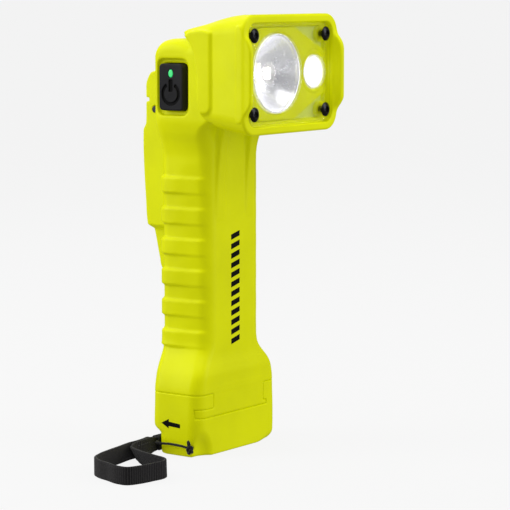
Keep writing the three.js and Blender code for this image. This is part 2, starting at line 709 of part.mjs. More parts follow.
const CELL_FLOOR = 29.4;
const CELL_STEP = CELL_LENGTH + 0.7;

function makeTray() {
  const plug = alongZ(roundedRect(-TRAY_HALF_WIDTH, TRAY_HALF_WIDTH, TRAY_FRONT, TRAY_REAR, 2.6),
    RAIL_BOTTOM + 0.4, 26.4);
  const groove = cut(
    block(-20, 20, -14, 10, 21.4, 23.6),
    alongZ(roundedRect(-TRAY_HALF_WIDTH + 1.2, TRAY_HALF_WIDTH - 1.2, TRAY_FRONT + 1.2,
      TRAY_REAR - 1.2, 1.6), 20, 25));
  const spine = block(-14, 14, 5.2, TRAY_REAR, 26, 134);
  const top = block(-TRAY_HALF_WIDTH, 0.2, -8.6, 6, 132, 134);
  const shelf = block(0.2, TRAY_HALF_WIDTH, -8.6, 6, 81.6, 83.2);
  const partition = block(-0.2, 0.2, -4, 6, 26, 133);
  return union(cut(plug, groove), spine, top, shelf, partition);
}

function makeTraySeal() {
  const outer = roundedRect(-TRAY_HALF_WIDTH - 0.2, TRAY_HALF_WIDTH + 0.2, TRAY_FRONT - 0.2,
    TRAY_REAR + 0.2, 2.8);
  const inner = roundedRect(-TRAY_HALF_WIDTH + 1.5 - GAP, TRAY_HALF_WIDTH - 1.5 + GAP,
    TRAY_FRONT + 1.5 - GAP, TRAY_REAR - 1.5 + GAP, 1.4);
  return cut(alongZ(outer, 21.7, 23.3), alongZ(inner, 21, 24));
}

// An AA cell: a can with a raised positive button, [radius, height] turned about Z.
function makeCell(x, bottom) {
  const profile = [
    [0, 0], [5, 0], [6.6, 0.3], [CELL_RADIUS, 0.9], [CELL_RADIUS, CELL_LENGTH - 2.6],
    [6.4, CELL_LENGTH - 1.6], [2.8, CELL_LENGTH - 1.4], [2.6, CELL_LENGTH], [0, CELL_LENGTH],
  ].map(([radius, height]) => new THREE.Vector2(radius, height));
  const geometry = new THREE.LatheGeometry(profile, 24);
  geometry.rotateX(Math.PI / 2).translate(x, CELL_Y, bottom);
  return toSolid(geometry);
}

function makeContactSpring(x) {
  return helix([x, CELL_Y], 3, 'z', 27, CELL_FLOOR - 0.8 - 27, 2, 0.35);
}

function makeDriverBoard() {
  const plate = block(1.6, 15, -6.4, -5, 85, 128);
  const parts = [
    block(4, 12, -5.1, -1, 90, 98), block(3, 8, -5.1, -3.4, 103, 108),
    block(10, 13, -5.1, -3.6, 102, 110), block(4, 13, -5.1, -2.6, 114, 122),
  ];
  return union(plate, ...parts);
}

// ------------------------------------------------------------------------------- clip

function makeClipBracket() {
  const plate = alongY(roundedRect(-9, 9, 149, 171, 2), TOWER_REAR + GAP, 18.3);
  const earSide = new THREE.Shape();
  earSide.moveTo(17, 154);
  earSide.lineTo(CLIP_PIN_Y, CLIP_PIN_Z - 2.6);
  earSide.absarc(CLIP_PIN_Y, CLIP_PIN_Z, 2.6, -Math.PI / 2, Math.PI / 2, false);
  earSide.lineTo(17, 166);
  const earsPair = [alongX(earSide, -9, -6.6), alongX(earSide, 6.6, 9)];
  const bore = rod('x', -12, 12, 1.5 + GAP, [CLIP_PIN_Y, CLIP_PIN_Z], 16);
  const holes = CLIP_SCREW_Z.map((z) => rod('y', 15, 20, 1.4 + GAP, [0, z], 12));
  return cut(union(plate, ...earsPair), bore, ...holes);
}

function makeClipScrew(z) {
  return turned([
    [0, 20], [1.6, 19.8], [2.6, 19.2], [2.8, 18.3 + GAP], [1.3, 18.3 + GAP], [1.3, 13.6],
    [0, 13.6],
  ], [0, z], 16);
}

function makeClipPin() {
  return rod('x', -14.4, 14.4, 1.5, [CLIP_PIN_Y, CLIP_PIN_Z], 16);
}

function makeClipSpring() {
  return helix([CLIP_PIN_Y, CLIP_PIN_Z], 2.35, 'x', -5.6, 11.2, 6, 0.5);
}

const CLIP_OUTSIDE = [
  [22.6, 178.4], [25, 177.4], [27, 175], [28.4, 171.5], [29.2, 167.5], [29.2, 165.7],
  [26.9, 165.3], [26.2, 164.3], [27.2, 162.6], [28.6, 160], [29.5, 155.5], [30.4, 150.5],
  [30.6, 144], [30.2, 132], [29.3, 118], [28.3, 106], [27.2, 102.5], [24.2, 89.5],
  [22.8, 84.5], [21.2, 82.4],
];
const CLIP_INSIDE = [
  [15.6, 82.4], [14.7, 84], [15, 86.5], [16.2, 89], [16.2, 140], [17.6, 150], [17.6, 161],
  [21.4, 176.8],
];

function makeClipLever() {
  const whole = alongX(polygon([...CLIP_OUTSIDE, ...CLIP_INSIDE]),
    -CLIP_HALF_WIDTH, CLIP_HALF_WIDTH);
  const pocket = polygon([
    [10, 106], [25.6, 106], [26.9, 118], [27.7, 132], [28, 144], [27.8, 150], [27.2, 155],
    [26.2, 160], [25.2, 162.2], [24, 163.6], [24, 166.6], [25.4, 168.5], [25.8, 171],
    [24.4, 174], [10, 174],
  ]);
  const tonguePocket = polygon([
    [10, 86.8], [21, 86.8], [22, 89.5], [24.6, 102], [25.6, 107], [10, 107],
  ]);
  const sides = [-1, 1].map((hand) => {
    const reach = [hand * TONGUE_HALF_WIDTH, hand * (CLIP_HALF_WIDTH + 1)].sort((a, b) => a - b);
    return block(reach[0], reach[1], 10, 34, 80, TONGUE_TOP);
  });
  const bore = rod('x', -16, 16, 1.5 + GAP, [CLIP_PIN_Y, CLIP_PIN_Z], 16);
  return cut(whole,
    alongX(pocket, -CLIP_HALF_WIDTH + 2.2, CLIP_HALF_WIDTH - 2.2),
    alongX(tonguePocket, -TONGUE_HALF_WIDTH + 2.2, TONGUE_HALF_WIDTH - 2.2),
    ...sides, bore);
}

// ---------------------------------------------------------------------------- lanyard

// The thin cord starts at the stop knot inside the cap, comes out through the lanyard hole
// and its knot, and runs along the left side and around the rear corner into the ferrule.
const CORD_PATH = [
  [-23.4, -8.4, 4.7], [-25.4, -9.15, 4.7], [-27.6, -10, 4.65], [-29.8, -10.85, 4.6],
  [-31.6, -11.5, 4.6], [-32.8, -11.4, 4.8], [-33.4, -10.2, 5.1], [-33.6, -8.4, 5.4],
  [-33.4, -6, 5.5], [-33.1, -3, 5.5], [-32.9, 0, 5.5], [-32.9, 3, 5.3], [-32.8, 5.4, 5.15],
  [-32.2, 7.6, 5], [-30.9, 9.3, 4.9], [-29.4, 10, 4.9], [-28.4, 10.1, 4.9],
];

// The webbing leaves the ferrule, runs out as one of two stitched layers, opens into the
// wrist loop and comes back as the second layer.
const STRAP_PATH = [
  [-28.4, 13.6], [-31, 12.9], [-34.5, 11.5], [-38.4, 9.9], [-44.7, 8.9], [-51.9, 8.8],
  [-60.8, 7.3], [-69.5, 6], [-78.1, 4.2], [-85.3, 1], [-89.3, -4.5], [-91.6, -11.5],
  [-94, -18.5], [-93.6, -24], [-88, -26.7], [-80.5, -28], [-73.5, -28.6], [-69.2, -26],
  [-65.5, -17], [-62.5, -10], [-59.5, -4.5], [-56.5, 0.5], [-53.5, 4.2], [-51.5, 6.6],
  [-48.5, 7.4], [-44.6, 7.4], [-38.4, 8.4], [-34.5, 9.9], [-31, 11.3], [-28.4, 11.9],
];

function makeCord() {
  return wire(CORD_PATH, CORD_RADIUS, 8, 34);
}

function makeKnot() {
  const channel = wire(CORD_PATH, CORD_RADIUS + GAP, 8, 34);
  return cut(ellipsoid([-33.2, -12.2, 4], [1.6, 2, 2.3], 12), channel);
}

// The knot that stops the cord's inner end from leaving its pocket in the cap.
function makeStopKnot() {
  return ellipsoid([-21.6, -7.8, 4.8], [1.6, 1.6, 1.6], 10);
}

function makeFerrule() {
  return alongZ(roundedRect(-28.1, -21, 9.4, 14.6, 1), 0.2, 8.1);
}

function makeStrap() {
  const curve = new THREE.CatmullRomCurve3(
    STRAP_PATH.map(([x, y]) => new THREE.Vector3(x, y, 0)));
  const steps = 78;
  const rings = [];
  for (let i = 0; i <= steps; i += 1) {
    const place = curve.getPointAt(i / steps);
    const along = curve.getTangentAt(i / steps);
    const dx = (-along.y * STRAP_THICKNESS) / 2;
    const dy = (along.x * STRAP_THICKNESS) / 2;
    rings.push([
      [place.x - dx, place.y - dy, 0], [place.x + dx, place.y + dy, 0],
      [place.x + dx, place.y + dy, STRAP_WIDTH], [place.x - dx, place.y - dy, STRAP_WIDTH],
    ]);
  }
  return toSolid(loft(rings));
}

// --------------------------------------------------------------------------- assembly

const flashlight = new THREE.Group();

function place(name, solid, look) {
  const mesh = new THREE.Mesh(toGeometry(solid), look);
  mesh.name = name;
  flashlight.add(mesh);
}

place('handle_housing', makeHandle(), yellow);
place('head_housing', makeHead(), yellow);
place('lens_plate', makeLens(), clearPlastic);
place('reflector_carrier', makeCarrier(), yellow);
place('spot_reflector', makeMainReflector(), silvered);
place('flood_reflector', makeFloodReflector(), silvered);
place('flood_diffuser', makeFloodDiffuser(), frosted);
place('spot_led', led(MAIN_X, 5), phosphor);
place('flood_led', led(FLOOD_X, 3.4), phosphor);
place('led_board', makeLedBoard(), whiteBoard);
place('heat_sink', makeHeatSink(), aluminium);
screwPlaces.forEach((where, i) => place(`lens_screw_${i + 1}`, makeBezelScrew(where), blackSteel));

place('power_button', makeButton(), blackRubber);
place('indicator_lamp', makeIndicator(), greenLens);
place('button_plunger', makePlunger(), blackPlastic);
place('switch_board', makeSwitchBoard(), board);
place('driver_board', makeDriverBoard(), board);

place('battery_tray', makeTray(), blackPlastic);
place('tray_seal', makeTraySeal(), blackRubber);
place('cell_1', makeCell(-CELL_X, CELL_FLOOR), cellJacket);
place('cell_2', makeCell(-CELL_X, CELL_FLOOR + CELL_STEP), cellJacket);
place('cell_3', makeCell(CELL_X, CELL_FLOOR), cellJacket);
place('contact_spring_1', makeContactSpring(-CELL_X), steel);
place('contact_spring_2', makeContactSpring(CELL_X), steel);

place('tail_cap', makeTailCap(), yellow);
place('tray_pressure_pad', makePressurePad(), blackRubber);

place('clip_bracket', makeClipBracket(), blackSteel);
CLIP_SCREW_Z.forEach((z, i) => place(`clip_screw_${i + 1}`, makeClipScrew(z), steel));
place('clip_pin', makeClipPin(), blackSteel);
place('clip_spring', makeClipSpring(), steel);
place('clip_lever', makeClipLever(), yellow);

place('lanyard_cord', makeCord(), webbing);
place('lanyard_knot', makeKnot(), webbing);
place('lanyard_stop_knot', makeStopKnot(), webbing);
place('lanyard_ferrule', makeFerrule(), blackPlastic);
place('lanyard_strap', makeStrap(), webbing);

export default flashlight;
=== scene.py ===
import math

import bmesh
import bpy
import numpy as np
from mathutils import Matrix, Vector


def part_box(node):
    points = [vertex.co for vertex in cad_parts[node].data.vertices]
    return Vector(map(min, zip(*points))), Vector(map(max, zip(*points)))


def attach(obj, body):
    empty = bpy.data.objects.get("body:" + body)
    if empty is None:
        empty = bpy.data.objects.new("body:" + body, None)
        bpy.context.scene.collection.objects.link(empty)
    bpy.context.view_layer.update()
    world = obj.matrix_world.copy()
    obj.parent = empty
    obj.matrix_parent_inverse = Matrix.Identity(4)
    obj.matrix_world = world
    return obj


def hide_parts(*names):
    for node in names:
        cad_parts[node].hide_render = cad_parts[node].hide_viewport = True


# A firefighter's right-angle flashlight. Shapes are worked out in millimetres in the row
# frame: +Z up, the beams leave along -Y, the clip is on +Y and the power button on -X.

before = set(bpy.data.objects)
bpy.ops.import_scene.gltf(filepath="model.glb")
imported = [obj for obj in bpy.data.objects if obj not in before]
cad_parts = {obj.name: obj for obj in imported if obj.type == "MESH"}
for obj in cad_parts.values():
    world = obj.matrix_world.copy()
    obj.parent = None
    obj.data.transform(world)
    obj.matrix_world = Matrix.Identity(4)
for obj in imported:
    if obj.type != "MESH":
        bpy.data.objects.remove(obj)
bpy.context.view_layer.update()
MM = 0.001


def span(node):
    """A CAD node's lowest and highest corner, in millimetres."""
    low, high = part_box(node)
    return np.array(low) / MM, np.array(high) / MM


# ----------------------------------------------------------------------------- camera

AZIMUTH = -54
ELEVATION = 6.91
DISTANCE = 1.0717
LOOKS_AT = Vector((0.01123, -0.01727, 0.09118))


def stand_around(made, middle, azimuth, elevation, distance):
    """Puts a camera or a lamp at a distance from middle, facing it. Angles are in degrees."""
    a, e = math.radians(azimuth), math.radians(elevation)
    back = Vector((math.sin(a) * math.cos(e), -math.cos(a) * math.cos(e), math.sin(e)))
    made.location = middle + back * distance
    made.rotation_euler = back.to_track_quat("Z", "Y").to_euler()


def make_camera():
    data = bpy.data.cameras.new("camera")
    data.lens = 159.8
    data.sensor_width = 36
    camera = bpy.data.objects.new("camera", data)
    bpy.context.scene.collection.objects.link(camera)
    stand_around(camera, LOOKS_AT, AZIMUTH, ELEVATION, DISTANCE)
    bpy.context.scene.camera = camera


make_camera()


# --------------------------------------------------------------- meshes from numbers

def new_object(name, vertices, faces, materials, smooth=True):
    """A mesh object from vertices in millimetres."""
    mesh = bpy.data.meshes.new(name)
    mesh.from_pydata((np.asarray(vertices) * MM).tolist(), [], [list(f) for f in faces])
    mesh.polygons.foreach_set("use_smooth", [smooth] * len(mesh.polygons))
    for material in materials:
        mesh.materials.append(material)
    mesh.update()
    made = bpy.data.objects.new(name, mesh)
    bpy.context.scene.collection.objects.link(made)
    return made


def settle(piece, body, slot, *nodes):
    """Puts a finished piece on its body and hides the CAD nodes it replaces; slot is not used."""
    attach(piece, body)
    if nodes:
        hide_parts(*nodes)
    return piece


def ring_faces(rings, around, closed=False):
    """Quads between rings of points, each ring with the same number of points."""
    faces = []
    last = rings if closed else rings - 1
    for k in range(last):
        for i in range(around):
            j = (i + 1) % around
            here, there = k * around, ((k + 1) % rings) * around
            faces.append((here + i, here + j, there + j, there + i))
    return faces


def tube_faces(rings, around):
    """Quads between rings, and a face across each end."""
    last = (rings - 1) * around
    ends = [tuple(range(around))[::-1], tuple(range(last, last + around))]
    return ring_faces(rings, around) + ends


def turn_outward(made, weld=None):
    """Turns a mesh's faces outward, after joining corners closer than weld."""
    work = bmesh.new()
    work.from_mesh(made.data)
    if weld:
        bmesh.ops.remove_doubles(work, verts=work.verts, dist=weld)
    bmesh.ops.recalc_face_normals(work, faces=work.faces)
    work.to_mesh(made.data)
    work.free()


# ------------------------------------------------------------------------ smooth paths

def smooth_path(points, spacing):
    """Points about spacing apart on a centripetal Catmull-Rom curve through points."""
    given = np.array(points, float)
    given = np.vstack([2 * given[0] - given[1], given, 2 * given[-1] - given[-2]])
    fine = []
    for p0, p1, p2, p3 in zip(given, given[1:], given[2:], given[3:]):
        t0 = 0.0
        t1 = t0 + np.linalg.norm(p1 - p0) ** 0.5
        t2 = t1 + np.linalg.norm(p2 - p1) ** 0.5
        t3 = t2 + np.linalg.norm(p3 - p2) ** 0.5
        t = np.linspace(t1, t2, 24, endpoint=False)[:, None]
        a1 = (t1 - t) / (t1 - t0) * p0 + (t - t0) / (t1 - t0) * p1
        a2 = (t2 - t) / (t2 - t1) * p1 + (t - t1) / (t2 - t1) * p2
        a3 = (t3 - t) / (t3 - t2) * p2 + (t - t2) / (t3 - t2) * p3
        b1 = (t2 - t) / (t2 - t0) * a1 + (t - t0) / (t2 - t0) * a2
        b2 = (t3 - t) / (t3 - t1) * a2 + (t - t1) / (t3 - t1) * a3
        fine.append((t2 - t) / (t2 - t1) * b1 + (t - t1) / (t2 - t1) * b2)
    fine = np.vstack([*fine, given[-2:-1]])
    along = np.concatenate([[0], np.cumsum(np.linalg.norm(np.diff(fine, axis=0), axis=1))])
    at = np.linspace(0, along[-1], int(along[-1] / spacing) + 1)
    return np.stack([np.interp(at, along, fine[:, k]) for k in range(3)], axis=1)


def path_length(path):
    return float(np.linalg.norm(np.diff(path, axis=0), axis=1).sum())


def directions(path):
    """The path's direction, its level side and its upright at each point."""
    ahead = np.gradient(path, axis=0)
    ahead /= np.linalg.norm(ahead, axis=1)[:, None]
    side = np.cross([0.0, 0.0, 1.0], ahead)
    side /= np.linalg.norm(side, axis=1)[:, None]
    return ahead, side, np.cross(ahead, side)


# ------------------------------------------------------------------------------ fields
# A field is a function of x, y and z in millimetres that is negative inside a solid and
# near its surface gives the distance to it.

def meet(a, b, radius):
    """What is inside both fields, with the edge between them rounded."""
    over_a = np.maximum(a + radius, 0)
    over_b = np.maximum(b + radius, 0)
    return np.minimum(-radius, np.maximum(a, b)) + np.hypot(over_a, over_b)


def join(a, b, radius):
    """What is inside either field, with a fillet between them."""
    return -meet(-a, -b, radius)


def carve(a, b, radius):
    """The first field without the second, with the edge rounded."""
    return meet(a, -b, radius)


def rect(u, v, half_u, half_v, radius):
    """A rounded rectangle about the origin."""
    beyond_u = np.abs(u) - (half_u - radius)
    beyond_v = np.abs(v) - (half_v - radius)
    outside = np.hypot(np.maximum(beyond_u, 0), np.maximum(beyond_v, 0))
    return outside + np.minimum(np.maximum(beyond_u, beyond_v), 0) - radius


def between(v, low, high):
    """The slab between two values."""
    return np.maximum(low - v, v - high)


def rect_between(u, v, u0, u1, v0, v1, radius):
    return rect(u - (u0 + u1) / 2, v - (v0 + v1) / 2, (u1 - u0) / 2, (v1 - v0) / 2, radius)


def ellipsoid(x, y, z, centre, radii):
    p = np.sqrt(sum(((v - c) / r) ** 2 for v, c, r in zip((x, y, z), centre, radii)))
    return (p - 1) * min(radii)


def eased(*points):
    """A smooth curve through (place, value) points that never overshoots them."""
    xs, ys = np.array(points, float).T
    slopes = np.diff(ys) / np.diff(xs)
    tangents = np.concatenate([[0], (slopes[1:] + slopes[:-1]) / 2, [0]])
    turns = np.concatenate([[False], slopes[1:] * slopes[:-1] <= 0, [False]])
    tangents[turns] = 0
    limit = 3 * np.minimum(np.abs(np.concatenate([[0], slopes])),
                           np.abs(np.concatenate([slopes, [0]])))
    tangents = np.sign(tangents) * np.minimum(np.abs(tangents), limit)

    def value(v):
        v = np.clip(v, xs[0], xs[-1])
        k = np.clip(np.searchsorted(xs, v, side="right") - 1, 0, len(xs) - 2)
        h = xs[k + 1] - xs[k]
        t = (v - xs[k]) / h
        rise = (2 * t**3 - 3 * t**2 + 1) * ys[k] + (3 * t**2 - 2 * t**3) * ys[k + 1]
        return rise + h * ((t**3 - 2 * t**2 + t) * tangents[k] + (t**3 - t**2) * tangents[k + 1])

    return value


PROBES = np.array([(1, -1, -1), (-1, -1, 1), (-1, 1, -1), (1, 1, 1)], float)


def onto_surface(field, points, step, rounds):
    """Moves points onto the field's zero level."""
    reach = 0.04
    for _ in range(rounds):
        probes = [field(*(points + reach * d).T) for d in PROBES]
        slope = sum(p[:, None] * d for p, d in zip(probes, PROBES)) / (4 * reach)
        size = np.maximum((slope**2).sum(1), 0.05)
        move = (sum(probes) / 4 / size)[:, None] * slope
        length = np.linalg.norm(move, axis=1)[:, None]
        points = points - move * np.minimum(1, step / np.maximum(length, 1e-9))
    return points


def relaxed(points, faces):
    """Each point at the average of itself and its neighbours."""
    total, count = np.zeros_like(points), np.zeros(len(points))
    for i in range(4):
        for j in ((i + 1) % 4, (i + 3) % 4):
            for k in range(3):
                total[:, k] += np.bincount(faces[:, i], points[faces[:, j], k], len(points))
            count += np.bincount(faces[:, i], minlength=len(points))
    return 0.5 * points + 0.5 * total / count[:, None]


def skin(field, low, high, cell):
    """The zero level of a field as vertices and quads, by surface nets."""
    axes = [np.arange(low[k] - 1.6 * cell, high[k] + 2.6 * cell, cell) for k in range(3)]
    value = field(*np.meshgrid(*axes, indexing="ij", sparse=True))
    value = np.broadcast_to(value, [len(a) for a in axes])
    inside = value < 0
    cells = [len(a) - 1 for a in axes]
    ids, places, quads = [], [], []
    for a in range(3):
        b, c = (a + 1) % 3, (a + 2) % 3
        near, far = [slice(None)] * 3, [slice(None)] * 3
        near[a], far[a] = slice(None, -1), slice(1, None)
        near, far = tuple(near), tuple(far)
        at = np.argwhere(inside[near] != inside[far])
        v0, v1 = value[near][tuple(at.T)], value[far][tuple(at.T)]
        place = at.astype(float)
        place[:, a] += v0 / (v0 - v1)
        corners = []
        for step_b, step_c in ((-1, -1), (0, -1), (0, 0), (-1, 0)):
            home = at.copy()
            home[:, b] += step_b
            home[:, c] += step_c
            corners.append(np.ravel_multi_index(home.T, cells, mode="clip"))
            ids.append(corners[-1])
            places.append(place)
        quad = np.stack(corners, 1)
        quad[v0 > 0] = quad[v0 > 0, ::-1]
        quads.append(quad)
    used, index = np.unique(np.concatenate(ids), return_inverse=True)
    places = np.concatenate(places)
    count = np.bincount(index)
    points = np.stack([np.bincount(index, places[:, k]) / count for k in range(3)], 1)
    points = points * cell + [a[0] for a in axes]
    faces = np.searchsorted(used, np.concatenate(quads))
    points = onto_surface(field, points, cell / 2, 2)
    for _ in range(2):
        points = onto_surface(field, relaxed(points, faces), cell / 2, 2)
    return points, faces


def moulded(name, field, cell, materials, body, slot, *nodes, box=None, paint=None):
    """A piece whose surface is the zero level of a field, as large as its CAD node. paint
    gives each face's place in materials from the face's middle."""
    low, high = box if box else span(nodes[0])
    points, faces = skin(field, low - 0.6, high + 0.6, cell)
    made = new_object(name, points, faces, materials)
    if paint:
        middles = points[faces].mean(axis=1)
        made.data.polygons.foreach_set("material_index", paint(*middles.T).astype(np.int32))
    return settle(made, body, slot, *nodes)


def lathe(name, profile, centre, material, body, slot, *nodes, sides=96):
    """A profile of (radius, y) points turned about an axis along Y through centre (x, z)."""
    turn = np.arange(sides) * 2 * math.pi / sides
    points = []
    for radius, y in profile:
        ring = [(centre[0] + radius * math.cos(t), y, centre[1] + radius * math.sin(t)) for t in turn]
        points += ring
    faces = ring_faces(len(profile), sides)
    made = new_object(name, points, faces, [material])
    turn_outward(made, weld=1e-6)
    return settle(made, body, slot, *nodes)


# --------------------------------------------------------------------------- materials

class Shader:
    """A node material with a Principled shader and a few shorthands."""

    def __init__(self, name, **sockets):
        self.material = bpy.data.materials.new(name)
        self.material.use_nodes = True
        self.tree = self.material.node_tree
        self.surface = self.tree.nodes["Principled BSDF"]
        for key, value in sockets.items():
            self.surface.inputs[key.replace("_", " ")].default_value = value
        self.place = self.node("ShaderNodeTexCoord").outputs["Object"]

    def node(self, kind, **settings):
        made = self.tree.nodes.new(kind)
        for key, value in settings.items():
            setattr(made, key, value)
        return made

    def link(self, source, target):
        self.tree.links.new(source, target)

    def noise(self, size, detail=3.0, stretch=(1, 1, 1), place=None):
        """Noise with grains of about size metres, stretched along each axis."""
        scale = self.node("ShaderNodeMapping")
        scale.inputs["Scale"].default_value = [1 / (size * s) for s in stretch]
        self.link(place or self.place, scale.inputs["Vector"])
        made = self.node("ShaderNodeTexNoise")
        made.inputs["Scale"].default_value = 1.0
        made.inputs["Detail"].default_value = detail
        self.link(scale.outputs["Vector"], made.inputs["Vector"])
        return made.outputs["Fac"]

    def ramp(self, source, low, high, at=(0.35, 0.65)):
        """Two colours, or two numbers, mixed by source."""
        made = self.node("ShaderNodeValToRGB")
        for stop, place, colour in zip(made.color_ramp.elements, at, (low, high)):
            stop.position = place
            stop.color = (*colour, 1) if hasattr(colour, "__len__") else (colour,) * 3 + (1,)
        self.link(source, made.inputs["Fac"])
        return made.outputs["Color"]

    def colour(self, source):
        self.link(source, self.surface.inputs["Base Color"])

    def rough(self, source):
        self.link(source, self.surface.inputs["Roughness"])

    def bump(self, height, strength, depth, under=None):
        made = self.node("ShaderNodeBump")
        made.inputs["Strength"].default_value = strength
        made.inputs["Distance"].default_value = depth
        self.link(height, made.inputs["Height"])
        if under:
            self.link(under, made.inputs["Normal"])
        self.link(made.outputs["Normal"], self.surface.inputs["Normal"])
        return made.outputs["Normal"]

    def math(self, operation, a, b=None):
        made = self.node("ShaderNodeMath", operation=operation)
        for socket, value in zip(made.inputs, (a, b)):
            if value is None:
                continue
            if isinstance(value, (int, float)):
                socket.default_value = value
            else:
                self.link(value, socket)
        return made.outputs[0]


def moulded_plastic(name, low, high, rough=(0.36, 0.46), grain=0.00028, strength=0.12, painted_glow=0.0):
    """Injection-moulded plastic: a fine spark-eroded grain, slow changes of tint and gloss, and with
    painted_glow an even painted glow in the lighter tint, standing in for the plastic's fluorescence
    and for fill light.
    """
    s = Shader(name, Specular_IOR_Level=0.09)
    # An even painted glow: emission in the lighter tint that brightens the plastic everywhere, as
    # fill light would.
    if painted_glow:
        s.surface.inputs["Emission Color"].default_value = (*high, 1)
        s.surface.inputs["Emission Strength"].default_value = painted_glow
    s.colour(s.ramp(s.noise(0.03, 4), low, high))
    s.rough(s.ramp(s.noise(0.006, 5), *rough))
    flow = s.bump(s.noise(0.009, 2), 0.05, 0.0006)
    s.bump(s.noise(grain, 2), strength, 0.00006, under=flow)
    return s.material


def cloth_thread(name, low, high):
    s = Shader(name, Roughness=0.85, Specular_IOR_Level=0.2, Sheen_Weight=0.25)
    s.colour(s.ramp(s.noise(0.0006, 3), low, high))
    s.bump(s.noise(0.00012, 3), 0.5, 0.00008)
    return s.material


def ribbed_webbing():
    """Cross-ribbed webbing: thread colour and a fine twill by the strap's own length and width."""
    s = Shader("ribbed_webbing", Roughness=0.9, Specular_IOR_Level=0.18, Sheen_Weight=0.12,
               Sheen_Roughness=0.4)
    along = s.node("ShaderNodeUVMap", uv_map="weave").outputs["UV"]
    parts = s.node("ShaderNodeSeparateXYZ")
    s.link(along, parts.inputs["Vector"])
    ribs = s.math("SINE", s.math("MULTIPLY", parts.outputs["X"], 2 * math.pi / WEAVE_PITCH))
    threads = s.math("SINE", s.math("MULTIPLY", parts.outputs["Y"], 2 * math.pi / THREAD_PITCH))
    weave = s.math("ADD", s.math("MULTIPLY", ribs, 0.3), s.math("MULTIPLY", threads, 0.22))
    grain = s.math("MULTIPLY", s.noise(0.00035, 4), 0.9)
    tone = s.math("ADD", weave, grain)
    s.colour(s.ramp(tone, (0.006, 0.006, 0.0065), (0.04, 0.037, 0.038), at=(0.1, 0.95)))
    s.bump(tone, 0.7, 0.00012)
    return s.material


WEAVE_PITCH = 1.05
THREAD_PITCH = 0.52

YELLOW_LOW = (0.62, 0.655, 0.0)
YELLOW_HIGH = (0.69, 0.73, 0.0)


